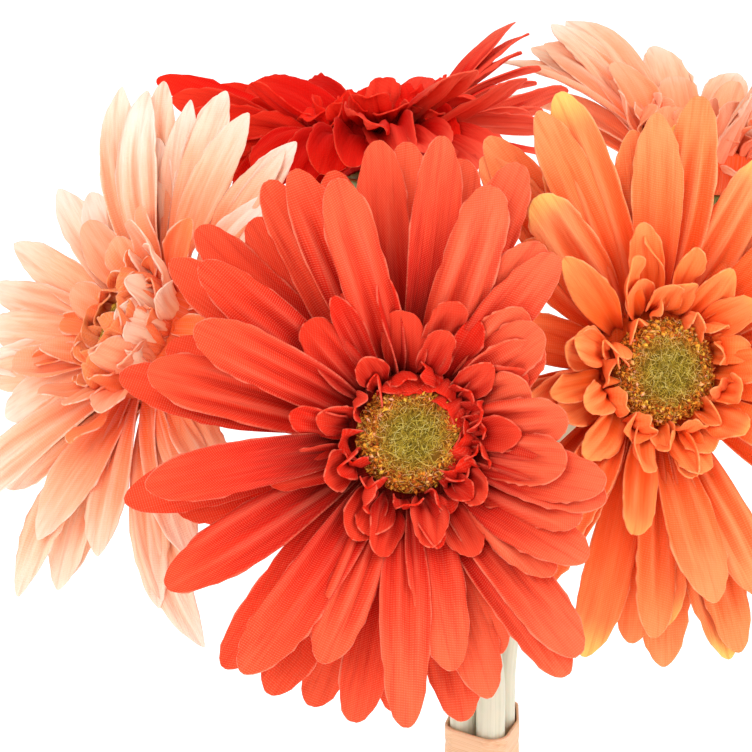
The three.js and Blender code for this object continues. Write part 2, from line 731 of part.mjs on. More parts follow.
BLOOMS.forEach((bloom, i) => {
  const frame = frames[i];
  const walls = WALLS.filter((w) => w.between.includes(bloom.name)).map((w) => ({
    at: seen(w.at).add(FRONT_CENTRE),
    normal: seen(w.normal).setLength(w.between[0] === bloom.name ? 1 : -1),
  }));
  const obstacles = guards.flatMap((spheres, k) =>
    k === i ? spheres.filter((s) => s.point.distanceTo(frame.centre) > OWN_STEM_FROM) : spheres,
  );
  const long = aimed(frame, bloom, longPetals(bloom), bloom.tips).map((petal) =>
    turnedToView(frame, petal, bloom.turned),
  );
  const short = aimed(frame, bloom, shortPetals(bloom), bloom.shortTips);
  const placed = [...long, ...short]
    .map((petal) => bendClear(frame, petal, walls, obstacles, bloom.reluctance))
    .filter(Boolean);
  const fused = placed.reduce(
    (sum, petal) => sum.add(toManifold(bladeGeometry(frame, petal))),
    toManifold(hubGeometry(frame)),
  );
  add(`${bloom.name}_petals`, toGeometry(oneBody(fused)), bloom.colour, 0.7);
  add(`${bloom.name}_disc`, discGeometry(frame), 0x8a8a2c, 0.95);
  add(`${bloom.name}_calyx`, toGeometry(oneBody(calyxSolid(frame))), 0x6f7f3a, 0.6);
  add(`${bloom.name}_stem`, stemGeometry(curves[i]), 0xc9c9a8, 0.45);
});

add("raffia_tie", toGeometry(oneBody(tieSolid())), 0xf0bf98, 0.75);
add("vase", vaseGeometry(), 0xcec5b5, 0.35);

export default group;
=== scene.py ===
"""Looks of the vase of artificial gerberas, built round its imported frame.

Shapes are worked out in the CAD's millimetres and frame, and scaled to metres when a mesh is made.
The petals follow the same rules as the solid ones, so each fine petal lies on its solid.
"""
import math

import bpy
import numpy as np
from mathutils import Matrix, Vector


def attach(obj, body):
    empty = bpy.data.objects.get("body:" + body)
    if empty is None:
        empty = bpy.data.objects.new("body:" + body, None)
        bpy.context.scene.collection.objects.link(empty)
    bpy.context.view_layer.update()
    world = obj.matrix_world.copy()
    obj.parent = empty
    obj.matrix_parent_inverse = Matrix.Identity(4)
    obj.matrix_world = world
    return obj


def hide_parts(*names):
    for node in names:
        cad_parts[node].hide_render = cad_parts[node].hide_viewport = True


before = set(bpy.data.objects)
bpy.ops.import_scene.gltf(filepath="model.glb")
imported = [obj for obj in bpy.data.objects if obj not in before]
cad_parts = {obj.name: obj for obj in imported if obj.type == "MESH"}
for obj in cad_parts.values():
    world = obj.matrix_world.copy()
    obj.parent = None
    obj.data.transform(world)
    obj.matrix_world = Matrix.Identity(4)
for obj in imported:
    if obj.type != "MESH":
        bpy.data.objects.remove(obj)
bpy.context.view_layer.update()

BODY = "root"
MM = 0.001

# ---- the solids' dimensions, in millimetres ----------------------------------------------------

CLEAR = 0.3
VASE_HEIGHT = 145
VASE_FOOT_R = 31
VASE_BELLY_R = 44
VASE_NECK_R = 17.2
VASE_LIP_R = 21
VASE_WALL = 3.2
VASE_FLOOR = 5
TIE_TOP = 178
TIE_HEIGHT = 14
TIE_THICK = 0.8
STEM_R = 3.3
DISC_R = 11.2
DISC_RISE = 5.5
HUB_R = 13.2
HUB_BOTTOM = -7.4
HUB_TOP = 2
CALYX_BOTTOM = -21
PETAL_WIDTH = 10.6

TILT = math.radians(20)
RIGHT = np.array([1.0, 0, 0])
UP = np.array([0, math.sin(TILT), math.cos(TILT)])
NEAR = np.array([0, -math.cos(TILT), math.sin(TILT)])
FRONT_CENTRE = np.array([-17.0, -50, TIE_TOP + 86])


def seen(v):
    """A vector given to the right, up and near, as the photo sees it."""
    return v[0] * RIGHT + v[1] * UP + v[2] * NEAR


def unit(v):
    return v / np.linalg.norm(v)


# A bloom's centre, from the front bloom's, and the way it faces are given as the photo sees them.
#   tips        where long petals that show end, from the bloom's centre: right, up, and how high they
#               stand over the bloom's plane or, where it is seen side on, how near. A fourth value is
#               the petal's curl. short_tips is the same for short petals
#   lean        degrees by which the long petals rise to the right, top, left and bottom
#   turned      degrees by which petals may roll to lie broad to the view, on the right and the left
#   slim, blunt, sharp    the long petals' width and the form of their tips
#   crown       length of the finer short petals
#   reluctance  how much rather a petal droops than lifts to get clear
#   root, foot, lead      where the stem passes the tie, where it ends, and how straight it comes out
SHARED = dict(
    reluctance=1, lead=26, lean=[0, 0, 0, 0], side_on=False, slim=1, blunt=1, sharp=0.5, crown=1,
    turned=[0, 0], tips=[],
)
BLOOMS = [
    dict(SHARED, name="coral", seed=1, centre=[0, 0, 0], faces=[0.13, 0, 0.99], root=[1.7, -6.1],
         foot=[-9, 8],
         short_tips=[
             [-5, 33, 10], [-15, 28, 12], [-13, 29, 7], [-20, 22, 12], [9, 28, 14], [14, 23, 12],
             [-23, 4, 12], [-28, -8, 10], [14, -24, 10], [6, -22, 12], [-6, -23, 12], [-12, -20, 10],
             [21, -13, 9],
         ]),
    dict(SHARED, name="orange", seed=2, lead=22, centre=[51.5, 13.5, -20], faces=[0.3, -0.05, 0.95],
         root=[4, 0.5], foot=[11, -9], blunt=0.95, sharp=0.55, turned=[10, 10],
         tips=[
             [-21, 56, 10], [-25, 52, 12], [-22, 51, 6], [-35, 47, 4], [-37, 43, 0], [-23, 44, 8],
             [-26, 35, 14], [-28, 26, 8], [-1, 52, 14], [-6, 49, 8], [8, 56, 10], [5, 51, 4],
             [22, 44, 12], [28, 32, 8], [31, 22, 14], [-15, -59, 6], [-5, -57, 0], [-1, -55, 8],
             [2, -53, 4], [2, -62, -2], [11, -48, 14], [15, -60, 0], [18, -59, 5], [23, -47, 12],
         ],
         short_tips=[
             [-6, -34, 12], [-14, -17, 12], [-24, -5, 12], [-20, 22, 18], [-9, 23, 14], [-4, 30, 12],
             [-1, 28, 10], [2, 18, 13], [7, 25, 14], [15, 20, 13], [19, -5, 12], [11, -17, 9],
             [3, -17, 10], [8, -22, 8],
         ]),
    dict(SHARED, name="peach", reluctance=1.4, seed=3, centre=[-54, 20, -26], faces=[-0.8, 0.38, 0.45],
         lean=[-6, -6, 0, 0], root=[-4, -2.1], foot=[-14, -7], slim=0.86, blunt=0.75, sharp=0.72,
         turned=[38, 38],
         tips=[
             [32, 44, 1], [21, 47, 3], [20, 51, 0], [15, 51, 4], [8, 51, 8], [5, 54, 7], [1, 43, 10],
             [-1, 53, 14, -50], [-7, 55, 16, -50], [37, 34, -1], [-14, 32, 12], [-21, 32, 13],
             [-7, 36, 10], [-31, 21, 13], [-38, 12, 14], [-39, 3, 14], [-38, -5, 12], [-33, -17, 9],
             [-32, -25, 6], [-32, -32, 2], [-27, -53, 6, -40], [-22, -41, 8], [-19, -52, -2],
             [-17, -50, -4], [-4, -60, -8, -60], [-3, -53, -8], [-9, -45, -4], [2, -44, -8],
             [5, -35, -6], [3, -24, 0],
         ],
         short_tips=[
             [10, 25, 8], [3, 12, 11], [7, 6, 7], [2, 2, 9], [-4, -4, 11], [-9, -14, 10],
             [-13, -23, 8], [-6, 8, 17], [-8, 1, 16], [-9, -4, 14], [-3, 12, 15], [-10, -9, 12],
             [-4, 17, 5], [-9, 8, 4], [-18, 5, 9], [-23, -4, 9], [-28, -7, 12], [-13, -3, 5],
         ]),
    dict(SHARED, name="red", reluctance=5, seed=4, centre=[-5, 64.5, -62], faces=[-0.2, 0.97, -0.1],
         lean=[22, -10, 6, -36], root=[-2.4, 4.8], foot=[2, 15], side_on=True, blunt=0.9, sharp=0.6,
         crown=0.55, turned=[10, 45],
         tips=[
             [30, 26, -24, -50], [34, 22, -24, -45], [31, 19, -20, -45], [35, 16, -20, -40],
             [34, 12, -14, -40], [41, 9, -8, -35], [32, 4, 2, -30], [35, 4, -2, -30],
             [35, 0, 10, -30], [36, -6, 20, -30], [-50, 13, -18], [-46, 9, -6], [-40, 13, -38],
             [-31, 13, -30, -50], [-21, 12, -36, -45], [-44, 5, 0], [-37, 5, -20], [-34, 9, -44],
             [-32, 2, 6], [-34, -4, 10], [-39, -7, 20], [-27, -10, 28, -60], [-19, -12, 34, -60],
             [-30, -14, 26, -60], [-12, -9, 40, -70], [-7, -8, 42, -70], [4, -9, 42, -70],
             [12, -8, 40, -70], [18, -11, 34, -60], [25, -10, 30, -50],
         ],
         short_tips=[
             [-17, 5, 10], [-18, -2, 14], [-7, 3, 22], [-3, 4, 24], [-11, 2, 18], [10, 3, 20],
             [15, -2, 18], [3, 4, 22], [17, 10, -8], [20, 9, 2], [16, 10, 8], [12, 9, -18],
             [4, 7, -24], [-8, 7, -20], [15, 15, -70], [11, 12, -76],
         ]),
    dict(SHARED, name="salmon", reluctance=5, seed=5, lead=12, centre=[63.5, 61, -70],
         faces=[0.1, 0.97, 0.17], lean=[6, 6, 32, -30], root=[4, 7.5], foot=[15, 9], side_on=True,
         slim=0.92, blunt=0.7, sharp=0.8, crown=0.8, turned=[40, 20],
         tips=[
             [-27, 34, -36, -45], [-30, 32, -32, -45], [-35, 28, -36, -45], [-32, 27, -30, -45],
             [-42, 23, -34, -45], [-42, 16, -32, -40], [-34, 11, -30, -40], [-21, 24, -40, -45],
             [-6, 27, -42, -40], [-4, 24, -40, -40], [13, 20, -44, -30], [9, 16, -40], [19, 3, -40],
         ],
         short_tips=[[-23, 6, 4], [-12, 10, 0], [-10, 12, -4], [2, 10, -10], [11, 0, 4]]),
]
# Planes that keep two blooms' petals apart: a point of each and its normal, as the photo sees them.
WALLS = [
    (("coral", "orange"), [28, 0, 10], [-0.64, 0, 0.77]),
    (("coral", "peach"), [-50, 0, -7], [0.17, 0, 0.985]),
    (("coral", "red"), [0, 50, -8], [0, -0.1, 0.995]),
    (("orange", "peach"), [-2, 0, -40], [1, 0, 0]),
    (("orange", "salmon"), [50, 60, -30], [0, -0.15, 0.99]),
    (("orange", "red"), [22, 50, -28], [0.65, 0, 0.76]),
    (("peach", "red"), [-38, 65, -34], [-0.75, 0, 0.66]),
    (("red", "salmon"), [40, 75, -76], [-0.72, -0.1, 0.68]),
]
# Long petals of the front bloom, in layers from back to front: azimuth and reach.
MEASURED = [
    [(47, 42), (77, 58), (91, 60), (106, 56), (128, 54), (136, 60), (158, 52),
     (200, 49), (253, 58), (268, 56), (293, 50), (318, 48), (349, 45)],
    [(69, 60), (98, 60), (120, 59), (145, 60), (169, 60), (191, 59), (242, 59),
     (259, 58), (281, 58), (307, 60), (331, 47), (24, 33)],
    [(43, 39), (60, 48), (84, 60), (114, 58), (141, 55), (166, 55), (209, 58),
     (229, 59), (286, 54), (301, 57), (342, 47)],
    [(8, 34), (38, 33), (56, 45), (72, 51), (108, 53), (153, 49), (188, 54),
     (234, 57), (247, 47), (265, 56), (279, 45), (321, 43), (342, 44)],
]
# count, reach, slope in degrees, height of the root
LONG_LAYERS = [(11, 60, 3, -6), (11, 59, 11, -4.4), (10, 57, 19, -2.8), (10, 53, 28, -1.2)]
# The solid short petals and, after them, the finer ones between them: the same, and the width
SHORT_LAYERS = [
    (11, 33, 42, 0.3, 8.2), (10, 23, 62, 1.3, 6.4),
    (9, 28, 52, 0.9, 7.4), (13, 20.5, 70, 1.6, 6.0),
]
SOLID_SHORT_LAYERS = 2
LONG_CURL, SHORT_CURL = -20, -26
LONG_ROOT_INSET, SHORT_ROOT_INSET = 3, 0.9


def draw(*keys):
    """A repeatable number from -0.5 to 0.5 for each set of keys."""
    mixed = 0.137
    for i, key in enumerate(keys):
        mixed += key * (12.9898 + 65.2331 * i)
    swung = math.sin(mixed) * 43758.5453
    return swung - math.floor(swung) - 0.5


# ---- placing petals, as the solids' source does ------------------------------------------------

class BloomFrame:
    def __init__(self, bloom):
        self.axis = unit(seen(bloom["faces"]))
        guide = -NEAR if abs(bloom["faces"][1]) > 0.6 else UP
        self.up = unit(guide - guide.dot(self.axis) * self.axis)
        self.right = np.cross(self.up, self.axis)
        self.centre = seen(bloom["centre"]) + FRONT_CENTRE
        self.matrix = np.array([self.right, self.up, self.axis])

    def place(self, points):
        """Points modelled about +Z, moved into the bloom."""
        return np.asarray(points) @ self.matrix + self.centre

    def outward(self, azimuth):
        return self.right * math.cos(azimuth) + self.up * math.sin(azimuth)


def turned_to_view(fr, petal, turned):
    """The petal rolled about its length, to the right or left by so much at the most, to lie broad."""
    outward = fr.outward(petal["azimuth"])
    most = math.radians(turned[0 if outward.dot(RIGHT) > 0 else 1])
    upper = fr.axis * math.cos(petal["slope"]) - outward * math.sin(petal["slope"])
    across = np.cross(fr.axis, outward)
    needed = math.atan(-across.dot(NEAR) / (upper.dot(NEAR) or 1e-9))
    return dict(petal, roll=min(max(needed, -most), most))


def rolled(across, upper, roll):
    """Two directions square to a petal's length, turned about it."""
    c, s = np.cos(roll), np.sin(roll)
    return c * across + s * upper, c * upper - s * across


ROLLED_BY = 0.6  # the share of its length by which a petal has its whole roll


def petal_line(fr, petal, t):
    """Points along a petal's middle, the direction across it, and its upper side at each point."""
    curl, length = petal["curl"], petal["length"]
    outward = fr.outward(petal["azimuth"])
    start = petal["slope"] - curl / 2
    now = start + curl * t
    out = length * (np.sin(now) - math.sin(start)) / curl
    rise = length * (math.cos(start) - np.cos(now)) / curl
    across = np.cross(fr.axis, outward)
    points = (
        fr.centre
        + np.outer(petal["root_radius"] + out, outward)
        + np.outer(petal["root_height"] + rise, fr.axis)
        + np.outer(petal["sway"] * t * t, across)
    )
    upper = np.outer(np.cos(now), fr.axis) - np.outer(np.sin(now), outward)
    roll = petal["roll"] * np.minimum(t / ROLLED_BY, 1)
    return points, *rolled(across, upper, roll[:, None])


WIDEST = 0.58
ROOT_WIDTH, GAINED_WIDTH = 0.34, 0.66


def petal_width(petal, t, blunt=2.4, sharp=0.5):
    grown = ROOT_WIDTH + GAINED_WIDTH * np.sin(math.pi / 2 * np.minimum(t, WIDEST) / WIDEST)
    past = np.clip((t - WIDEST) / (1 - WIDEST), 0, 1)
    return petal["width"] * np.where(t < WIDEST, grown, (1 - past**blunt) ** sharp)


WALL_GAP = 0.8
OBSTACLE_GAP = 1.4
DISC_GAP = 1
BEND_STEP = math.radians(3)
BEND_COUNT = 30
BEND_LOWEST, BEND_HIGHEST = math.radians(-52), math.radians(86)
ROOT_LOWEST = math.radians(-10)
SHORTENED = (1, 0.82, 0.66)
SHORTENING_COST = math.radians(110)
BENDS = [
    (signed, share)
    for i in range(BEND_COUNT) for share in SHORTENED for signed in (-i * BEND_STEP, i * BEND_STEP)
]
TESTED = np.array([0.3, 0.5, 0.7, 0.88, 1])


def is_clear(fr, petal, walls, guards):
    points, across, _ = petal_line(fr, petal, TESTED)
    half = petal_width(petal, TESTED) / 2
    tried = np.concatenate([points + side * half[:, None] * across for side in (-1, 0, 1)])
    for at, normal in walls:
        if ((tried - at) @ normal).min() < WALL_GAP:
            return False
    local = tried - fr.centre
    height = local @ fr.axis
    radial = np.sqrt(np.maximum((local**2).sum(1) - height**2, 0))
    if ((height > HUB_TOP) & (radial < DISC_R + DISC_GAP)).any():
        return False
    centres, radii = guards
    gap = np.linalg.norm(tried[:, None] - centres[None], axis=2) - radii[None]
    return gap.min() >= OBSTACLE_GAP


def bend_clear(fr, petal, walls, guards, reluctance):
    """The petal bent, drooped or shortened by the least that frees it, or None."""
    def cost(bend):
        turn, share = bend
        return max(-turn, turn * reluctance) + (1 - share) * SHORTENING_COST

    for turn, share in sorted(BENDS, key=cost):
        slope = petal["slope"] + turn
        if not BEND_LOWEST <= slope <= BEND_HIGHEST:
            continue
        curl = min(petal["curl"], 2 * (slope - ROOT_LOWEST))
        bent = dict(petal, slope=slope, curl=curl, length=petal["length"] * share)
        if is_clear(fr, bent, walls, guards):
            return bent
    return None


def lean_at(bloom, azimuth):
    right, top, left, bottom = bloom["lean"]
    c, s = math.cos(azimuth), math.sin(azimuth)
    return (right if c > 0 else left) * c * c + (top if s > 0 else bottom) * s * s


def long_petals(bloom):
    made = []
    seed = bloom["seed"]
    measured = MEASURED if bloom["name"] == "coral" else None
    for k, (count, layer_reach, layer_slope, root) in enumerate(LONG_LAYERS):
        rows = measured[k] if measured else [
            (360 / count * (i + 0.5 * (k % 2) + 0.24 * draw(seed, k, i, 1)) + 9 * k, None)
            for i in range(count)
        ]
        for i, (azimuth, seen_reach) in enumerate(rows):
            lean = lean_at(bloom, math.radians(azimuth))
            slope = math.radians(layer_slope + lean + 5 * draw(seed, k, i, 3))
            reach = seen_reach / math.cos(slope) if measured else layer_reach + 4 * draw(seed, k, i, 2)
            made.append(dict(
                kind="long", layer=k, index=i, azimuth=math.radians(azimuth), slope=slope,
                curl=math.radians(LONG_CURL + 10 * draw(seed, k, i, 4)),
                root_radius=HUB_R - LONG_ROOT_INSET, root_height=root, length=reach - HUB_R + LONG_ROOT_INSET,
                width=PETAL_WIDTH * bloom["slim"] * (1 + 0.16 * draw(seed, k, i, 5)),
                sway=5 * draw(seed, k, i, 6),
            ))
    return made


def short_petals(bloom):
    made = []
    for k, (count, reach, slope, root, width) in enumerate(SHORT_LAYERS):
        crown = 1 if k < SOLID_SHORT_LAYERS else bloom["crown"]
        for i in range(count):
            vary = lambda n: draw(bloom["seed"], 7 + k, i, n)
            made.append(dict(
                kind="short" if k in (0, 2) else "inner", layer=k, index=i,
                azimuth=math.radians(360 / count * (i + 0.4 * vary(1) + 0.5 * k)),
                slope=math.radians(slope + 16 * vary(2)), curl=math.radians(SHORT_CURL + 14 * vary(3)),
                root_radius=HUB_R - SHORT_ROOT_INSET, root_height=root,
                length=(reach - HUB_R) * (1 + 0.3 * vary(4)) * crown,
                width=width * (1 + 0.2 * vary(5)), sway=3 * vary(6),
            ))
    return made


# ---- stems' paths ------------------------------------------------------------------------------

STRAIGHT_BELOW, STRAIGHT_ABOVE = 2, 8  # how far each stem runs straight past the tie's two edges


def bezier(a, b, c, d, count=200):
    t = np.linspace(0, 1, count)[:, None]
    return (1 - t) ** 3 * a + 3 * (1 - t) ** 2 * t * b + 3 * (1 - t) * t * t * c + t**3 * d


def evenly(points, count):
    """The same path with points at even distances."""
    step = np.linalg.norm(np.diff(points, axis=0), axis=1)
    travelled = np.concatenate([[0], np.cumsum(step)])
    at = np.linspace(0, travelled[-1], count)
    return np.stack([np.interp(at, travelled, points[:, k]) for k in range(3)], 1)


def stem_path(bloom, fr, count):
    (rx, ry), (fx, fy) = bloom["root"], bloom["foot"]
    top = fr.centre + fr.axis * (CALYX_BOTTOM - CLEAR)
    below, above = TIE_TOP - TIE_HEIGHT - STRAIGHT_BELOW, TIE_TOP + STRAIGHT_ABOVE
    at = lambda x, y, z: np.array([x, y, z], float)
    low, high = at(rx, ry, below), at(rx, ry, above)
    return evenly(np.concatenate([
        bezier(at(fx, fy, VASE_FLOOR + CLEAR), at(fx * 0.9, fy * 0.9, 60), at(rx, ry, 118), low),
        np.linspace(low, high, 20)[1:],
        bezier(high, at(rx, ry, above + 30), top - bloom["lead"] * fr.axis, top)[1:],
    ]), count)


# ---- meshes ------------------------------------------------------------------------------------

class Builder:
    """Gathers closed bodies, their per-point values and their flat cloth coordinates."""

    def __init__(self):
        self.points, self.faces, self.values, self.cloth = [], [], {}, []
        self.count = 0

    def add(self, points, faces, cloth=None, **values):
        n = len(points)
        self.points.append(np.asarray(points, float))
        self.faces.extend([tuple(int(i) + self.count for i in f) for f in faces])
        self.cloth.append(np.zeros((n, 2)) if cloth is None else np.asarray(cloth, float))
        for name in set(self.values) | set(values):
            rows = self.values.setdefault(name, [np.zeros(self.count)] if self.count else [])
            rows.append(np.broadcast_to(np.asarray(values.get(name, 0), float), (n,)))
        self.count += n

    def add_sheet(self, upper, lower, cloth=None, **values):
        """A closed sheet between two grids of points. A value is the same on both sides, or a pair."""
        shape = upper.shape[:2]
        for name, given in values.items():
            pair = given if isinstance(given, tuple) else (given, given)
            values[name] = np.concatenate([np.broadcast_to(side, shape).ravel() for side in pair])
        if cloth is not None:
            cloth = np.tile(cloth.reshape(-1, 2), (2, 1))
        both = np.concatenate([upper.reshape(-1, 3), lower.reshape(-1, 3)])
        self.add(both, sheet_faces(*shape), cloth, **values)

    def build(self, name, material, node):
        mesh = bpy.data.meshes.new(name)
        mesh.from_pydata((np.concatenate(self.points) * MM).tolist(), [], self.faces)
        cloth = np.concatenate(self.cloth)
        corner = np.zeros(len(mesh.loops), np.int32)
        mesh.loops.foreach_get("vertex_index", corner)
        mesh.uv_layers.new(name="cloth").data.foreach_set("uv", cloth[corner].astype(np.float32).ravel())
        for key, rows in self.values.items():
            data = mesh.attributes.new(key, "FLOAT", "POINT").data
            data.foreach_set("value", np.concatenate(rows).astype(np.float32))
        mesh.polygons.foreach_set("use_smooth", np.ones(len(mesh.polygons), bool))
        mesh.validate()
        mesh.materials.append(material)
        obj = bpy.data.objects.new(name, mesh)
        bpy.context.scene.collection.objects.link(obj)
        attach(obj, BODY)
        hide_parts(node)


def sheet_faces(rows, cols):
    """Faces of a closed sheet: an upper grid, then a lower one of the same size."""
    below = rows * cols
    upper = np.arange(below).reshape(rows, cols)
    a, b, c, d = upper[:-1, :-1], upper[:-1, 1:], upper[1:, 1:], upper[1:, :-1]
    faces = np.stack([a, d, c, b], -1).reshape(-1, 4).tolist()
    faces += (np.stack([d, a, b, c], -1).reshape(-1, 4) + below).tolist()
    rim = np.concatenate([upper[0], upper[1:, -1], upper[-1, -2::-1], upper[-2:0:-1, 0]])
    faces += [(j, j + below, i + below, i) for i, j in zip(rim, np.roll(rim, -1))]
    return faces


def ring_faces(rings, sides, looped=False):
    """Faces between rings of points, each to the next, and from the last to the first if looped."""
    faces = []
    for k in range(rings if looped else rings - 1):
        here, there = k * sides, (k + 1) % rings * sides
        for i in range(sides):
            j = (i + 1) % sides
            faces.append((here + i, here + j, there + j, there + i))
    return faces


def ball_faces(rings, sides):
    """Faces between rings and from the first and last of them to two end points, kept after them."""
    faces = ring_faces(rings, sides)
    n = rings * sides
    for i in range(sides):
        j = (i + 1) % sides
        faces += [(n, j, i), (n + 1, n - sides + i, n - sides + j)]
    return faces


def ring_angles(sides):
    return np.arange(sides) / sides * 2 * math.pi


def grid_normals(grid):
    normal = np.cross(np.gradient(grid, axis=0), np.gradient(grid, axis=1))
    return normal / np.maximum(np.linalg.norm(normal, axis=2, keepdims=True), 1e-9)


def carried_axes(points):
    """Two directions across a path at each point, turned as little as can be from point to point."""
    tangents = np.gradient(points, axis=0)
    tangents /= np.linalg.norm(tangents, axis=1, keepdims=True)
    guide = np.array([1.0, 0, 0]) if abs(tangents[0][0]) < 0.8 else np.array([0, 1.0, 0])
    first, second = [], []
    side = unit(guide - guide.dot(tangents[0]) * tangents[0])
    for tangent in tangents:
        side = unit(side - side.dot(tangent) * tangent)
        first.append(side)
        second.append(np.cross(tangent, side))
    return np.array(first), np.array(second)


def tube(points, radii, sides):
    """A closed tube round a path. The radii fit a grid of its points by its sides."""
    first, second = carried_axes(points)
    angle = ring_angles(sides)[:, None]
    outward = np.cos(angle) * first[:, None] + np.sin(angle) * second[:, None]
    rings = points[:, None] + np.broadcast_to(radii, (len(points), sides))[..., None] * outward
    last = (len(points) - 1) * sides
    ends = [tuple(range(sides))[::-1], tuple(range(last, last + sides))]
    return rings.reshape(-1, 3), ring_faces(len(points), sides) + ends


def lathe(profile, sides):
    """A closed body turned about +Z from a profile that starts and ends on the axis."""
    profile = np.asarray(profile, float)
    inner = profile[1:-1]
    angle = ring_angles(sides)
    rings = np.stack([
        inner[:, :1] * np.cos(angle), inner[:, :1] * np.sin(angle),
        np.broadcast_to(inner[:, 1:], (len(inner), sides)),
    ], -1)
    points = np.concatenate([rings.reshape(-1, 3), [[0, 0, profile[0, 1]], [0, 0, profile[-1, 1]]]])
    return points, ball_faces(len(inner), sides)


def smooth_step(x):
    x = np.clip(x, 0, 1)
    return x * x * (3 - 2 * x)


# ---- fine petals -------------------------------------------------------------------------------

SHEET_THICK = 0.34
FRAY = 0.13  # how much the cut edge wanders near the tip, as a share of the half width
ACROSS = np.array([-1, -0.9, -0.74, -0.56, -0.38, -0.19, 0, 0.19, 0.38, 0.56, 0.74, 0.9, 1])
TIP_CROWDING = 1.6  # rows of points stand closer towards the tip
LAST_ROW = 0.9985
HUB_SIDES = 48

# How each kind of petal is formed: rows of points, roll and twist in degrees, cupping at root and tip
# as a share of the half width, depth of the pleats, wave of the edges, how far the tip turns up and how
# much that varies, how blunt the tip is, and how much it is coloured as the short petals are.
FORMS = {
    kind: dict(zip(("rows", "roll", "twist", "cup", "pleat", "wave", "tip", "blunt", "short"), row))
    for kind, row in dict(
        long=(24, 14, 26, (0.4, 0.08), 0.15, 0.05, (0, 0.8), 3.0, 0),
        short=(17, 36, 46, (0.4, 0.16), 0.1, 0.16, (0.1, 1.4), 2.8, 0.7),
        ruffle=(15, 24, 50, (0.3, 0.5), 0.16, 0.5, (0.2, 0.8), 3.4, 1),
        inner=(15, 70, 90, (0.6, 0.4), 0.08, 0.34, (0.35, 2.0), 2.5, 1),
    ).items()
}
# Some of the shorter petals are folded along their length, and some are ruffled.
STYLES = [dict(), dict(cup=2.0, wave=0.6, blunt=0.85), dict(cup=0.7, wave=2.0, blunt=1.1)]
LONG_KEY, SHORT_KEY = 20, 30


def fine_petal(builder, fr, bloom, petal):
    """A pressed cloth petal: creased lengthwise, cupped at the root, with a soft wave at its edges."""
    kind = petal["kind"]
    form = FORMS[kind]
    keys = (bloom["seed"], (LONG_KEY if kind == "long" else SHORT_KEY) + petal["layer"], petal["index"])
    rand = lambda n: draw(*keys, 10 + n)
    style = STYLES[int((rand(12) + 0.5) * 3)] if kind in ("short", "inner") else {}
    t = 1 - (1 - np.linspace(0, 1, form["rows"])) ** TIP_CROWDING
    t[-1] = LAST_ROW
    points, across, upper = petal_line(fr, petal, t)
    blunt = form["blunt"] * style.get("blunt", 1) * bloom["blunt"] * (1 + 0.3 * rand(0))
    sharp = (bloom["sharp"] if kind == "long" else 0.5) * (1 + 0.3 * rand(15))
    half = petal_width(petal, t, blunt, sharp) / 2
    half = (half * (1 + 0.05 * np.sin(9 * t + 6 * rand(1))))[:, None]

    s = np.repeat(ACROSS[None, :], len(t), 0)
    for column, key in ((0, 51), (-1, 52)):
        frayed = np.array([draw(*keys, key, row) for row in range(len(t))])
        s[:, column] *= 1 + FRAY * frayed * smooth_step((t - 0.4) / 0.3)
    t = t[:, None]
    # Roll about the petal's own length, so that neighbours overlap like shingles.
    roll = math.radians(form["roll"]) * rand(2) + math.radians(form["twist"]) * rand(3) * t
    side, above = rolled(across, upper, roll)
    # Cupping, more on one side than on the other
    root_cup, tip_cup = form["cup"]
    cup = (root_cup + (tip_cup - root_cup) * smooth_step(t * 1.3)) * (1 + 0.9 * rand(4)) * style.get("cup", 1)
    lift = cup * (1 + 1.2 * rand(5) * np.sign(s)) * np.abs(s) ** 1.7
    pleat = (1 + 1.4 * rand(6)) * smooth_step(t * 4) * smooth_step((1 - t) * 2.6)
    pleat = pleat * np.cos(2 * math.pi * (s / (0.84 + 0.3 * rand(11)) + 0.25 * rand(13) * t + rand(14)))
    lift = lift + form["pleat"] * pleat
    lift = lift + form["wave"] * style.get("wave", 1) * np.abs(s) ** 2 * np.sin(
        t * (7 + 4 * rand(7)) + 9 * rand(8) + np.sign(s) * (1.2 + 3 * rand(9))
    )
    # The tip turns up or back a little.
    tip = (form["tip"][0] + form["tip"][1] * rand(10)) * smooth_step((t - 0.45) / 0.55) ** 2
    # A rolled petal's sides close in on its middle.
    narrow = np.cos(np.minimum(0.9 * np.abs(cup), 1.1))
    grid = (
        points[:, None]
        + (half * s * narrow)[..., None] * side[:, None]
        + (half * lift + petal["width"] / 2 * tip)[..., None] * above[:, None]
    )
    flat = np.stack([half * s, np.broadcast_to(t * petal["length"], s.shape)], -1)
    shift = 100 * np.array([draw(*keys, 31), draw(*keys, 32)])
    builder.add_sheet(
        grid, grid - SHEET_THICK * grid_normals(grid), flat + shift,
        along=t, across=s, pleat=(pleat, -pleat), back=(0, 1), short=form["short"],
        chance=draw(*keys, 33) + 0.5, tint=0 if kind == "ruffle" else draw(*keys, 34) + 0.5,
        rightward=0.5 + 0.5 * fr.outward(petal["azimuth"]).dot(RIGHT),
    )


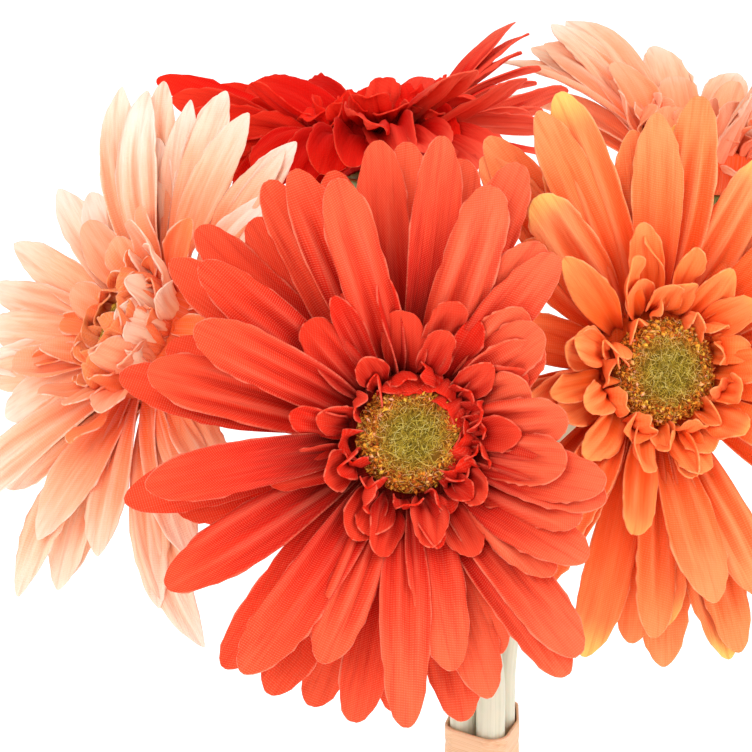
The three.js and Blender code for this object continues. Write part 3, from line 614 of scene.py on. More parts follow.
def aimed(fr, bloom, petals, tips):
    """The petals, with those nearest to the given tips turned and cut so that they end there."""
    left = list(petals)
    made = []
    facing = unit(np.array(bloom["faces"], float))
    for right, up, third, *curl in tips:
        near = third if bloom["side_on"] else (third - facing[0] * right - facing[1] * up) / facing[2]
        tip = seen((right, up, near))
        height = tip @ fr.axis
        azimuth = math.atan2(tip @ fr.up, tip @ fr.right)
        radial = math.sqrt(tip @ tip - height**2)
        turn = [abs((p["azimuth"] - azimuth + math.pi) % (2 * math.pi) - math.pi) for p in left]
        petal = left.pop(int(np.argmin(turn)))
        out, rise = radial - petal["root_radius"], height - petal["root_height"]
        slope = math.atan2(rise, out)
        bend = math.radians(curl[0]) if curl else petal["curl"]
        bend = min(bend, 2 * (slope - ROOT_LOWEST))
        length = math.hypot(out, rise) * (bend / 2) / math.sin(bend / 2)
        made.append(dict(petal, azimuth=azimuth, slope=slope, curl=bend, length=length, sway=0))
    return made + left


# Ruffles round the rim of a bloom's centre: azimuth, slope and curl in degrees, length and width in
# millimetres. Those over 100 degrees lap over the rim.
LAPPING = {
    "coral": [
        (104, 108, 40, 7, 11), (86, 112, 40, 7, 12), (66, 108, 40, 6.5, 9), (40, 120, 46, 8.5, 9),
        (22, 118, 46, 8, 9), (2, 110, 46, 7, 8), (342, 112, 46, 7.5, 9), (322, 108, 46, 7.5, 9),
    ],
    "orange": [],
    "peach": [
        (-62, 84, -12, 12, 10), (-38, 88, -12, 13, 10), (-16, 86, -12, 13, 11), (6, 88, -12, 14, 10),
        (28, 86, -12, 13, 10), (52, 84, -12, 12, 10), (140, 104, -10, 9, 9), (160, 110, -10, 10, 10),
        (182, 112, -10, 11, 10), (206, 108, -10, 10, 10), (228, 104, -10, 9, 9),
    ],
    "red": [
        (236, 84, -14, 6.4, 8), (252, 86, -14, 6.8, 9), (270, 86, -14, 7.2, 9), (288, 86, -14, 6.8, 9),
        (306, 84, -14, 6.8, 9), (324, 84, -14, 6.4, 8), (60, 84, -14, 5, 8), (90, 84, -14, 5.2, 8),
        (120, 84, -14, 5, 8),
    ],
    "salmon": [
        (236, 92, 1, 9, 9), (258, 92, 1, 10, 10), (280, 92, 1, 10, 10), (304, 92, 1, 9, 9),
        (90, 112, 30, 9, 9),
    ],
}


def lapping_petals(name):
    return [
        dict(kind="ruffle", layer=len(SHORT_LAYERS), index=i, azimuth=math.radians(azimuth),
             slope=math.radians(slope), curl=math.radians(curl), root_radius=HUB_R - 0.6,
             root_height=HUB_TOP - 0.4, length=length, width=width, sway=0, roll=0)
        for i, (azimuth, slope, curl, length, width) in enumerate(LAPPING[name])
    ]


def build_petals(bloom, fr, walls, guards, material):
    builder = Builder()
    name = bloom["name"]
    for petal in lapping_petals(name):
        fine_petal(builder, fr, bloom, petal)
    petals = [
        turned_to_view(fr, petal, bloom["turned"])
        for petal in aimed(fr, bloom, long_petals(bloom), bloom["tips"])
    ]
    short = short_petals(bloom)
    solid = [p for p in short if p["layer"] < SOLID_SHORT_LAYERS]
    finer = [p for p in short if p["layer"] >= SOLID_SHORT_LAYERS]
    petals += [dict(p, roll=0) for p in aimed(fr, bloom, solid, bloom["short_tips"]) + finer]
    for petal in petals:
        bent = bend_clear(fr, petal, walls, guards, bloom["reluctance"])
        if bent:
            fine_petal(builder, fr, bloom, bent)
    hub = [(0, HUB_BOTTOM), (HUB_R - 2.6, HUB_BOTTOM), (HUB_R, HUB_BOTTOM + 2), (HUB_R, HUB_TOP - 0.6),
           (HUB_R - 0.6, HUB_TOP), (0, HUB_TOP)]
    points, faces = lathe(hub, HUB_SIDES)
    builder.add(fr.place(points), faces, points[:, :2], short=1)
    builder.build(f"{name}_petals_cloth", material, f"{name}_petals")


# ---- the fuzzy centre --------------------------------------------------------------------------

DOME_SHARES = [0, 0.36, 0.6, 0.82, 1]
DOME_HEIGHTS = [1, 0.97, 0.88, 0.7, 0.36]
DOME_UNDER = 0.5  # how far the dome stays under its fibres and chips
DOME_RINGS, DOME_SIDES = 12, 60
FIBRES, FIBRE_POINTS, FIBRE_SIDES, FIBRE_R = 2200, 5, 4, 0.06
CHIPS = 700


def dome_height(r):
    """Height of the disc's dome above the hub at a share of its radius."""
    return HUB_TOP + CLEAR + DISC_RISE * np.interp(r, DOME_SHARES, DOME_HEIGHTS)


def add_dome(builder, fr, rng):
    bottom, reach = HUB_TOP + CLEAR, DISC_R - DOME_UNDER
    profile = [(0, bottom), (reach, bottom)]
    profile += [(reach * r, dome_height(r) - DOME_UNDER) for r in np.linspace(1, 0, DOME_RINGS)]
    points, faces = lathe(profile, DOME_SIDES)
    points[:, 2] += rng.normal(0, 0.12, len(points)) * (points[:, 2] > bottom + 0.1)
    radial = np.linalg.norm(points[:, :2], axis=1) / DISC_R
    builder.add(fr.place(points), faces, points[:, :2], radial=radial, strand=0, chance=0.4)


def add_fibre(builder, fr, rng):
    """A fibre that lies over the dome in any direction, and stands a little proud of it."""
    r = math.sqrt(rng.random()) * 0.93
    a = rng.random() * 2 * math.pi
    heading = rng.random() * 2 * math.pi
    step = rng.uniform(1.6, 3.4) / FIBRE_POINTS
    k = np.linspace(0, 1, FIBRE_POINTS)
    turn = heading + rng.normal(0, 0.9) * k
    x = r * DISC_R * math.cos(a) + np.cumsum(np.cos(turn)) * step
    y = r * DISC_R * math.sin(a) + np.cumsum(np.sin(turn)) * step
    far = np.hypot(x, y) / DISC_R
    x, y = x / np.maximum(far, 1), y / np.maximum(far, 1)
    far = np.minimum(far, 1)
    proud = rng.uniform(0.0, 0.5) + rng.uniform(0.2, 0.9) * np.sin(math.pi * k) * rng.random()
    path = np.stack([x, y, dome_height(far) - 0.35 + proud], 1)
    points, faces = tube(path, (FIBRE_R * (1 - 0.6 * k))[:, None], FIBRE_SIDES)
    radial = np.repeat(far, FIBRE_SIDES)
    builder.add(fr.place(points), faces, points[:, :2], radial=radial, strand=1, chance=rng.random())


def add_chip(builder, fr, rng):
    """A chip of a dry floret. They crowd the rim."""
    corners = np.array([[1, 0, 0], [-1, 0, 0], [0, 1, 0], [0, -1, 0], [0, 0, 1], [0, 0, -1]], float)
    faces = [(0, 2, 4), (2, 1, 4), (1, 3, 4), (3, 0, 4), (2, 0, 5), (1, 2, 5), (3, 1, 5), (0, 3, 5)]
    r = rng.uniform(0.5, 1.0) ** 0.62
    a = rng.random() * 2 * math.pi
    size = rng.uniform(0.25, 0.9) * np.array([1, rng.uniform(0.4, 0.8), rng.uniform(0.25, 0.5)])
    turn = np.linalg.qr(rng.normal(size=(3, 3)))[0]
    if np.linalg.det(turn) < 0:
        turn[:, 0] *= -1
    reach = min(r, 1 - 0.25 / DISC_R) * DISC_R
    centre = [reach * math.cos(a), reach * math.sin(a), dome_height(r) + rng.uniform(-0.5, 0.4)]
    points = corners * size @ turn.T + centre
    builder.add(fr.place(points), faces, points[:, :2], radial=r, strand=0.5, chance=rng.random())


def build_disc(bloom, fr, material):
    builder = Builder()
    rng = np.random.default_rng(bloom["seed"])
    add_dome(builder, fr, rng)
    for _ in range(FIBRES):
        add_fibre(builder, fr, rng)
    for _ in range(CHIPS):
        add_chip(builder, fr, rng)
    builder.build(f"{bloom['name']}_disc_fuzz", material, f"{bloom['name']}_disc")


# ---- calyx, stems ------------------------------------------------------------------------------

CUP_SIDES, CUP_RIBS = 48, 16
# Each row's count, height of the root, slope in degrees, length and width
BRACTS = [(8, CALYX_BOTTOM + 5, 44, 10.5, 4.8), (9, CALYX_BOTTOM + 3, 58, 8.5, 3.8)]
BRACT_THICK = 0.5
STEM_RINGS, STEM_SIDES, STEM_RIBS = 140, 28, 7


def add_cup(builder, fr):
    rim, top = HUB_R - 3, HUB_BOTTOM - CLEAR
    radii = [0, 4.2, 4.6, 5.0, 5.8, 7.6, 9.4, rim, rim, rim - 0.3, 0]
    rises = [0, 0, 0.5, 3, 5.5, 8, 10.2]
    heights = [CALYX_BOTTOM + rise for rise in rises] + [HUB_BOTTOM - 1.8, top - 0.3, top, top]
    points, faces = lathe(list(zip(radii, heights)), CUP_SIDES)
    ribs = 1 + 0.03 * np.cos(np.arctan2(points[:, 1], points[:, 0]) * CUP_RIBS)
    points[:, :2] *= np.where(points[:, 2:] < HUB_BOTTOM - 1, ribs[:, None], 1)
    height = (points[:, 2] - CALYX_BOTTOM) / (HUB_BOTTOM - CALYX_BOTTOM)
    builder.add(fr.place(points), faces, points[:, :2], along=height, chance=0.5)


def add_bract(builder, fr, seed, row, i):
    """A pointed bract that lies against the cup."""
    count, root_height, slope, length, width = BRACTS[row]
    bract = dict(
        azimuth=(i + 0.3 * draw(9, i) + 0.5 * row) / count * 2 * math.pi,
        slope=math.radians(slope), curl=math.radians(-24), root_radius=4.6 + 0.1 * row,
        root_height=root_height, length=length, sway=0, roll=0,
    )
    t = np.linspace(0, 0.99, 9)
    points, across, upper = petal_line(fr, bract, t)
    half = width / 2 * np.sin(math.pi * (0.2 + 0.8 * t)) ** 0.8
    half[-1] = 0.12
    half = half[:, None]
    s = np.array([-1, -0.5, 0, 0.5, 1])
    lift = 0.35 * (half * s**2)
    grid = points[:, None] + (half * s)[..., None] * across[:, None] + lift[..., None] * upper[:, None]
    chance = draw(seed, i, row) + 0.5
    builder.add_sheet(grid, grid - BRACT_THICK * upper[:, None], along=t[:, None], across=s, chance=chance)


def build_calyx(bloom, fr, material):
    builder = Builder()
    add_cup(builder, fr)
    for row, (count, *_) in enumerate(BRACTS):
        for i in range(count):
            add_bract(builder, fr, bloom["seed"], row, i)
    builder.build(f"{bloom['name']}_calyx_bracts", material, f"{bloom['name']}_calyx")


def build_stem(bloom, fr, material):
    builder = Builder()
    path = stem_path(bloom, fr, STEM_RINGS)
    angle = ring_angles(STEM_SIDES)
    phase = 6 * draw(bloom["seed"], 50)
    points, faces = tube(path, STEM_R * (0.975 + 0.02 * np.cos(STEM_RIBS * angle + phase)), STEM_SIDES)
    along = np.repeat(np.linspace(0, 1, STEM_RINGS), STEM_SIDES)
    length = np.linalg.norm(np.diff(path, axis=0), axis=1).sum()
    cloth = np.stack([np.tile(angle * STEM_R, STEM_RINGS), along * length], 1)
    builder.add(points, faces, cloth, along=along, chance=draw(bloom["seed"], 51) + 0.5)
    builder.build(f"{bloom['name']}_stem_tube", material, f"{bloom['name']}_stem")


# ---- tie and vase ------------------------------------------------------------------------------

TIE_SIDES, TIE_ROWS = 144, 25
TIE_BOTTOM = TIE_TOP - TIE_HEIGHT
KNOT_RINGS, KNOT_SIDES = 20, 36
KNOT_HALF = (4.5, 2.2, 3.7)
TAIL_ROWS, TAIL_COLS = 14, 7
TAIL_THICK = 0.45


def bundle_outline(distance, angles):
    """A line round the bundle of stems, at a distance from whichever lies furthest out each way."""
    roots = np.array([b["root"] for b in BLOOMS], float)
    way = np.stack([np.cos(angles), np.sin(angles)], 1)
    return roots[np.argmax(way @ roots.T, axis=1)] + (STEM_R + distance) * way


def add_band(builder):
    """The band, with folds that gather towards the knot at the front."""
    angles = np.linspace(0, 2 * math.pi, TIE_SIDES, endpoint=False)
    inner, outer = bundle_outline(CLEAR, angles), bundle_outline(CLEAR + TIE_THICK, angles)
    turn = np.arctan2(outer[:, 1] - outer[:, 1].mean(), outer[:, 0] - outer[:, 0].mean())
    to_knot = np.abs((turn + math.pi / 2 + math.pi) % (2 * math.pi) - math.pi)
    gather = 0.35 + 0.65 * np.exp(-((to_knot / 0.9) ** 2))

    def level(ring, share):
        height = TIE_BOTTOM + TIE_HEIGHT * share + 0.25 * np.sin(2 * turn + 1) * (share - 0.5)
        return np.column_stack([ring, height])

    def folded(share):
        fold = 0.16 * np.sin(share * 16 + to_knot * 5) + 0.1 * np.sin(share * 37 + turn * 3)
        return outer + (outer - inner) / TIE_THICK * (fold * gather - 0.16)[:, None]

    up = np.linspace(0, 1, TIE_ROWS)
    rings = [level(folded(share), share) for share in up]
    rings += [level(inner + (outer - inner) * 0.12, share) for share in up[::-1]]
    shares = np.repeat(np.concatenate([up, up[::-1]]), TIE_SIDES)
    cloth = np.stack([np.tile(angles, len(rings)) * 9, shares * TIE_HEIGHT], 1)
    builder.add(np.concatenate(rings), ring_faces(len(rings), TIE_SIDES, looped=True), cloth)


def add_knot(builder, at):
    """The knot, squeezed by its own folds, with its ends to the right and left."""
    theta = np.linspace(0, math.pi, KNOT_RINGS + 2)[1:-1]
    tt, pp = np.meshgrid(theta, ring_angles(KNOT_SIDES), indexing="ij")
    crumple = 1 + 0.06 * np.sin(pp * 5 + tt * 3) + 0.05 * np.sin(tt * 9 + pp * 2) - 0.04
    ball = np.stack([np.cos(tt), np.sin(tt) * np.cos(pp), np.sin(tt) * np.sin(pp)], -1)
    body = (ball * KNOT_HALF * crumple[..., None]).reshape(-1, 3)
    ends = np.array([[1, 0, 0], [-1, 0, 0]]) * KNOT_HALF
    points = np.concatenate([body, ends]) + at
    faces = [face[::-1] for face in ball_faces(KNOT_RINGS, KNOT_SIDES)]
    builder.add(points, faces, points[:, [2, 0]])


def add_tail(builder, at, side):
    """A flat tail with a fold down the middle, to the right or left of the knot."""
    t = np.linspace(0, 1, TAIL_ROWS)
    s = side * np.linspace(-1, 1, TAIL_COLS)
    centre = at + np.stack([side * (1.5 + 9 * t), -0.4 - 0.8 * t**2, -1 - 5 * t - 2.5 * t**2], 1)
    t = t[:, None]
    fold = -0.35 * (1 - np.abs(s)) - 0.12 * np.sin(9 * t) * s
    grid = centre[:, None] + np.stack(
        [np.broadcast_to(0.24 * side * s, fold.shape), fold, 1.9 * (0.75 + 0.25 * t) * s], -1
    )
    cloth = np.stack(np.broadcast_arrays(14 * t, 2 * s), -1)
    builder.add_sheet(grid, grid + np.array([0, TAIL_THICK, 0]), cloth)


def build_tie(material):
    builder = Builder()
    add_band(builder)
    front = min(b["root"][1] for b in BLOOMS) - STEM_R - CLEAR - TIE_THICK
    knot_at = np.array([1.5, front - 1.6, TIE_BOTTOM + 4.6])
    add_knot(builder, knot_at)
    for side in (1, -1):
        add_tail(builder, knot_at, side)
    builder.build("raffia_band", material, "raffia_tie")


def catmull(points, steps):
    """A smooth line through points, as the solids' spline draws it."""
    points = np.asarray(points, float)
    last = len(points) - 1
    made = []
    for x in np.linspace(0, last, steps):
        i = min(int(x), last - 1)
        w = x - i
        p0, p1, p2, p3 = points[max(i - 1, 0)], points[i], points[i + 1], points[min(i + 2, last)]
        v0, v1 = (p2 - p0) * 0.5, (p3 - p1) * 0.5
        cubic, square = 2 * p1 - 2 * p2 + v0 + v1, -3 * p1 + 3 * p2 - 2 * v0 - v1
        made.append(cubic * w**3 + square * w**2 + v0 * w + p1)
    return np.array(made)


VASE_SIDES = 160
FOOT_ROUND, FOOT_RISE, LIP_ROUND = 1.5, 3, 1.6
FOOT_HOLLOW = 1.2


def build_vase(material):
    wall, lip_z = VASE_WALL, VASE_HEIGHT - LIP_ROUND
    outer = catmull([
        (VASE_FOOT_R, FOOT_RISE), (VASE_BELLY_R - 3, 28), (VASE_BELLY_R, 50), (VASE_BELLY_R - 8, 78),
        (VASE_NECK_R + 4.5, 100), (VASE_NECK_R, 118), (VASE_NECK_R, 129), (VASE_LIP_R, lip_z),
    ], 72)
    inner = [(r - wall, z) for r, z in outer if z > VASE_FLOOR + 3]
    lip = [
        (VASE_LIP_R - wall / 2 + wall / 2 * math.cos(a), lip_z + LIP_ROUND * math.sin(a))
        for a in np.linspace(0, math.pi, 11)[1:-1]
    ]
    foot = [
        (VASE_FOOT_R - FOOT_ROUND + FOOT_ROUND * math.sin(a), FOOT_RISE - FOOT_RISE * math.cos(a))
        for a in np.linspace(0, math.pi / 2, 7)[:-1]
    ]
    profile = [(0, FOOT_HOLLOW), (VASE_FOOT_R - 7, FOOT_HOLLOW), (VASE_FOOT_R - 5.6, FOOT_HOLLOW / 2)]
    profile += [(VASE_FOOT_R - 5, 0)] + foot + [tuple(p) for p in outer] + lip + inner[::-1]
    profile += [(VASE_FOOT_R - wall - 2, VASE_FLOOR), (0, VASE_FLOOR)]
    builder = Builder()
    points, faces = lathe(profile, VASE_SIDES)
    builder.add(points, faces, points[:, :2], height=points[:, 2] / VASE_HEIGHT)
    builder.build("vase_glazed", material, "vase")


# ---- materials ---------------------------------------------------------------------------------

def linear(hex_colour):
    """A colour written as sRGB hex, in the linear values that a shader takes."""
    channels = [int(hex_colour[i : i + 2], 16) / 255 for i in (0, 2, 4)]
    return (*[c / 12.92 if c <= 0.04045 else ((c + 0.055) / 1.055) ** 2.4 for c in channels], 1)


class Paint:
    """A material and short ways to make its nodes. Colours are given as sRGB hex."""

    def __init__(self, name, **plain):
        self.material = bpy.data.materials.new(name)
        self.material.use_nodes = True
        self.tree = self.material.node_tree
        self.surface = self.tree.nodes["Principled BSDF"]
        for socket, value in plain.items():
            self.set(socket.replace("_", " "), value)

    def node(self, kind, **settings):
        made = self.tree.nodes.new(kind)
        for key, value in settings.items():
            setattr(made, key, value)
        return made

    def put(self, socket, value):
        if isinstance(value, bpy.types.NodeSocket):
            self.tree.links.new(value, socket)
        else:
            socket.default_value = linear(value) if isinstance(value, str) else value

    def set(self, name, value):
        self.put(self.surface.inputs[name], value)

    def finish(self, colour, roughness, normal):
        self.set("Base Color", colour)
        self.set("Roughness", roughness)
        self.set("Normal", normal)
        return self.material

    def value(self, name):
        return self.node("ShaderNodeAttribute", attribute_name=name).outputs["Fac"]

    def maths(self, operation, a, b=0.0, clamp=False):
        made = self.node("ShaderNodeMath", operation=operation, use_clamp=clamp)
        self.put(made.inputs[0], a)
        self.put(made.inputs[1], b)
        return made.outputs[0]

    def times(self, a, b):
        return self.maths("MULTIPLY", a, b)

    def plus(self, a, b, clamp=False):
        return self.maths("ADD", a, b, clamp)

    def minus(self, a, b):
        return self.maths("SUBTRACT", a, b)

    def around(self, value, spread):
        """How far a value lies from a half, times a spread."""
        return self.times(self.minus(value, 0.5), spread)

    def mix(self, share, a, b):
        made = self.node("ShaderNodeMix", data_type="RGBA")
        self.put(made.inputs[0], share)
        self.put(made.inputs[6], a)
        self.put(made.inputs[7], b)
        return made.outputs[2]

    def ramp(self, share, stops):
        made = self.node("ShaderNodeValToRGB")
        self.put(made.inputs[0], share)
        band = made.color_ramp
        while len(band.elements) < len(stops):
            band.elements.new(0.5)
        for element, (at, colour) in zip(band.elements, stops):
            element.position = at
            element.color = linear(colour)
        return made.outputs[0]

    def remap(self, value, low, high, to_low=0, to_high=1):
        made = self.node("ShaderNodeMapRange", interpolation_type="SMOOTHSTEP")
        for socket, given in zip(made.inputs, (value, low, high, to_low, to_high)):
            self.put(socket, given)
        return made.outputs[0]

    def over(self, base, colour, value, low, high, at_low=0, at_high=1):
        """The base with a colour laid over it, by a share that goes with a value."""
        return self.mix(self.remap(value, low, high, at_low, at_high), base, colour)

    def scaled(self, source, scale):
        made = self.node("ShaderNodeVectorMath", operation="MULTIPLY")
        self.put(made.inputs[0], source)
        self.put(made.inputs[1], scale)
        return made.outputs[0]

    def cloth(self, x=1.0, y=1.0):
        """The flat cloth coordinates, in millimetres, stretched."""
        return self.scaled(self.node("ShaderNodeUVMap", uv_map="cloth").outputs[0], (x, y, 1))

    def place(self, *stretch):
        """Object coordinates in millimetres, stretched."""
        source = self.node("ShaderNodeTexCoord").outputs["Object"]
        return self.scaled(source, tuple(1 / MM * s for s in stretch or (1, 1, 1)))

    def noise(self, vector, scale, detail, rough=0.55):
        made = self.node("ShaderNodeTexNoise")
        for name, given in (("Vector", vector), ("Scale", scale), ("Detail", detail), ("Roughness", rough)):
            self.put(made.inputs[name], given)
        return made.outputs[0]

    def bump(self, height, strength, distance, under=None):
        made = self.node("ShaderNodeBump")
        for name, given in (("Strength", strength), ("Distance", distance * MM), ("Height", height)):
            self.put(made.inputs[name], given)
        if under is not None:
            self.put(made.inputs["Normal"], under)
        return made.outputs[0]


THREAD = 0.5  # millimetres from one rib of the cloth to the next


def cloth_ribs(p, chance):
    """Heights of a slanting rib weave, from -1 to 1, cut at a slant of its own for each petal."""
    flat = p.node("ShaderNodeSeparateXYZ")
    p.put(flat.inputs[0], p.cloth())
    x, y = flat.outputs[0], flat.outputs[1]
    bias = p.minus(p.times(chance, 1.4), 0.35)
    slant = p.plus(y, p.times(x, bias))
    other = p.minus(x, p.times(y, p.times(bias, 0.6)))
    weft, warp = (p.maths("SINE", p.times(line, 2 * math.pi / THREAD)) for line in (slant, other))
    return p.plus(p.times(weft, 0.6), p.times(p.times(weft, warp), 0.5))


def petal_material(name, look):
    light, shade = look["light"], look["shade"]
    p = Paint(
        name, Sheen_Weight=0.05, Sheen_Roughness=0.5, Sheen_Tint=light, Specular_IOR_Level=0.06,
        Subsurface_Weight=look["thin"], Subsurface_Radius=(1, 0.8, 0.7), Subsurface_Scale=1.6 * MM,
    )
    along, across, chance, tint = (p.value(k) for k in ("along", "across", "chance", "tint"))
    back, short, pleat = (p.value(k) for k in ("back", "short", "pleat"))

    # The colour is deep at the root and pales towards the tip, more on some petals than on others: partly the
    # dye, partly painted shade near the centre.
    streaks = p.noise(p.cloth(1.6, 0.12), 1, 3, 0.6)
    shifted = p.plus(p.plus(along, p.around(tint, look["spread"])), p.around(streaks, 0.35), clamp=True)
    front = p.ramp(shifted, look["front"])
    rear = p.ramp(along, look["rear"])
    if "tip" in look:
        front = p.mix(p.times(p.remap(along, 0.82, 1), p.remap(chance, 0.4, 0.7)), front, look["tip"])
    # Petals that point right, and less so those that point up or down, are painted paler: painted light on
    # the lit side.
    if "painted_lit_side" in look:
        lit = p.remap(p.value("rightward"), *look["painted_lit_span"])
        front = p.mix(p.times(lit, p.remap(shifted, 0.3, 1, 0, 0.85)), front, look["painted_lit_side"])
        rear = p.mix(p.times(lit, 0.7), rear, look["painted_lit_side"])
    face = p.mix(p.remap(back, 0.4, 0.6), front, rear)
    # Short petals are dyed through, apart from the backs of some.
    bare = p.times(p.times(back, p.remap(tint, 0.7, 0.78)), look["bare"])
    face = p.mix(p.times(short, p.minus(1, bare)), face, p.ramp(along, look["short"]))
    # Blotches and veins
    face = p.over(face, shade, p.noise(p.cloth(0.22, 0.09), 1, 2, 0.5), 0.35, 0.75, 0, 0.22)
    face = p.over(face, light, p.noise(p.cloth(3.2, 0.06), 1, 2, 0.5), 0.45, 0.75, 0, 0.08)
    # Pleats get painted shade in their hollows and a painted highlight on their crests.
    face = p.over(face, shade, pleat, -1.1, -0.1, 0.45, 0)
    crest_highlight = p.times(p.remap(pleat, 0.1, 1.3, 0, look["crest_highlight"]), p.remap(short, 0, 1, 1, 0.4))
    face = p.mix(crest_highlight, face, light)
    # Painted shade along the fine creases, which also give the bump below.
    creases = p.noise(p.cloth(0.9, 0.05), 1, 2, 0.5)
    face = p.over(face, shade, creases, 0.3, 0.5, 0.3, 0)
    # Threads catch the light, and the cut edge is pale.
    ribs = cloth_ribs(p, chance)
    woven = p.times(p.remap(ribs, -0.2, 0.9), p.remap(along, 0.15, 0.7, 0.1, look["woven"]))
    face = p.mix(p.times(woven, p.remap(short, 0, 1, 1, 0.45)), face, light)
    cut = p.plus(p.maths("ABSOLUTE", across), p.around(p.noise(p.cloth(2, 2), 1, 2, 0.6), 0.12))
    face = p.over(face, light, cut, 0.96, 1.04, 0, p.remap(short, 0, 1, 0.45, 0.3))
    relief = p.bump(ribs, 0.6, 0.045, p.bump(creases, 0.6, 0.8))
    return p.finish(face, p.remap(ribs, -1, 1, 0.9, 0.74), relief)


# Colours by share of the length, from root to tip, for a long petal's two sides and a short petal. Their deep
# roots are partly dye and partly painted shade near the centre.
# The paler colour for petals that point right is painted light on the lit side.
PETAL_LOOKS = {
    "coral": dict(
        spread=0.35, bare=0.2, woven=0.32, crest_highlight=0.14, thin=0.2, painted_lit_side="f66a44", painted_lit_span=(0.0, 0.8),
        front=[(0, "5c0101"), (0.2, "9c0501"), (0.36, "cc1406"), (0.62, "e63014"), (1, "ee4c2a")],
        rear=[(0, "b01006"), (0.5, "ea4226"), (1, "f27252")],
        short=[(0, "620101"), (0.35, "ae0702"), (1, "e4230c")],
        shade="be0d03", light="f68e70",
    ),
    "orange": dict(
        spread=0.35, bare=0.3, tip="f4c266", woven=0.22, crest_highlight=0.2, thin=0.2,
        front=[(0, "b02e02"), (0.16, "ee4a12"), (0.42, "f86028"), (0.72, "fa7a42"), (1, "fb925c")],
        rear=[(0, "da4a14"), (0.5, "f87c48"), (1, "fa9c6a")],
        short=[(0, "c03e06"), (0.35, "fa661c"), (1, "ff9452")],
        shade="ec5012", light="fab080",
    ),
    "peach": dict(
        spread=0.3, bare=1.0, woven=0.14, crest_highlight=0.14, thin=0.15,
        front=[
            (0, "e04a14"), (0.18, "fb7036"), (0.38, "fc9868"), (0.6, "fdbc96"), (0.82, "fdd6bc"),
            (1, "fee4d2"),
        ],
        rear=[(0, "fe9c68"), (0.3, "ffbc8e"), (0.6, "ffd4ac"), (1, "ffe2c6")],
        short=[(0, "e04c10"), (0.35, "fb6e2e"), (1, "fc8c50")],
        shade="fb8658", light="feeadc",
    ),
    "red": dict(
        spread=0.25, bare=0.3, woven=0.14, crest_highlight=0.12, thin=0.15, painted_lit_side="ff7254", painted_lit_span=(0.3, 0.8),
        front=[(0, "8c0101"), (0.2, "c40301"), (0.5, "da0803"), (0.8, "e21206"), (1, "e8240f")],
        rear=[(0, "b80602"), (0.5, "e01a0a"), (1, "ee3c24")],
        short=[(0, "a80201"), (0.35, "e00a04"), (1, "f62614")],
        shade="c20401", light="f0523c",
    ),
    "salmon": dict(
        spread=0.3, bare=0.5, tip="fce0cc", woven=0.14, crest_highlight=0.2, thin=0.15,
        front=[(0, "ea4c16"), (0.16, "fc7440"), (0.4, "fd9c70"), (0.7, "feba92"), (1, "fed0b2")],
        rear=[(0, "fe9464"), (0.5, "ffc09c"), (1, "ffe0ca")],
        short=[(0, "e85016"), (0.4, "fc8048"), (1, "fda074")],
        shade="fa7c4c", light="fddcc6",
    ),
}
MOSS = [(0, "7c5e16"), (0.35, "b4962a"), (0.7, "d4b83e"), (1, "f0dc84")]
FLORETS = [(0, "7e3008"), (0.3, "cc6418"), (0.6, "ee982e"), (0.85, "f4c244"), (1, "f8b08c")]


def disc_material():
    p = Paint("fuzzy_centre", Specular_IOR_Level=0.2)
    chance, radial, strand = (p.value(k) for k in ("chance", "radial", "strand"))
    moss, florets = p.ramp(chance, MOSS), p.ramp(chance, FLORETS)
    rim = p.remap(radial, 0.3, 0.8)
    spots = p.noise(p.place(), 0.9, 2)
    colour = p.mix(p.times(rim, p.remap(spots, 0.32, 0.5)), moss, florets)
    colour = p.over(colour, florets, p.maths("ABSOLUTE", p.minus(strand, 0.5)), 0.1, 0.2, 1, 0)
    # The dome between the fibres is painted dark: painted shade in the gaps between them.
    colour = p.over(colour, p.mix(rim, "5c4c10", "7e400c"), strand, 0, 0.3, 0.75, 0)
    relief = p.bump(p.noise(p.place(), 3, 3), 0.5, 0.3)
    return p.finish(colour, p.remap(spots, 0.3, 0.7, 0.75, 0.95), relief)


def calyx_material():
    p = Paint("calyx_green", Subsurface_Weight=0.15, Subsurface_Scale=MM)
    along, across, chance = (p.value(k) for k in ("along", "across", "chance"))
    shifted = p.plus(along, p.around(chance, 0.3), clamp=True)
    colour = p.ramp(shifted, [(0, "8fa05a"), (0.5, "6c8236"), (1, "566d28")])
    vein = p.noise(p.place(1, 1, 0.3), 1.2, 3)
    colour = p.over(colour, "a3ad68", vein, 0.4, 0.7, 0, 0.35)
    colour = p.over(colour, "b4bc7c", p.maths("ABSOLUTE", across), 0.7, 1, 0, 0.4)
    return p.finish(colour, p.remap(vein, 0.3, 0.7, 0.45, 0.65), p.bump(vein, 0.4, 0.3))


def stem_material():
    p = Paint("stem_plastic", Coat_Weight=0.15, Coat_Roughness=0.3, Subsurface_Weight=0.2,
              Subsurface_Scale=1.5 * MM)
    streak = p.noise(p.cloth(1.3, 0.02), 1, 3, 0.6)
    colour = p.ramp(streak, [(0.25, "bcbaa0"), (0.5, "d0ceb6"), (0.75, "e2dfca")])
    colour = p.over(colour, "ddd6bc", p.noise(p.place(), 0.25, 3), 0.35, 0.7, 0, 0.4)
    # The top takes on the cup's green.
    green = p.times(p.remap(p.value("along"), 0.86, 1), p.remap(p.value("chance"), 0, 1, 0.5, 0.9))
    colour = p.mix(green, colour, "a2aa74")
    return p.finish(colour, p.remap(streak, 0.3, 0.7, 0.36, 0.52), p.bump(streak, 0.2, 0.15))


def tie_material():
    p = Paint("raffia", Subsurface_Weight=0.15, Subsurface_Scale=MM)
    fibre = p.noise(p.cloth(0.25, 5), 1, 4, 0.65)
    colour = p.ramp(fibre, [(0.25, "c98f66"), (0.5, "eab88d"), (0.75, "f6d3b2")])
    colour = p.over(colour, "f2cbaa", p.noise(p.cloth(0.08, 0.9), 1, 2), 0.35, 0.7, 0, 0.35)
    return p.finish(colour, p.remap(fibre, 0.3, 0.7, 0.5, 0.72), p.bump(fibre, 0.5, 0.25))


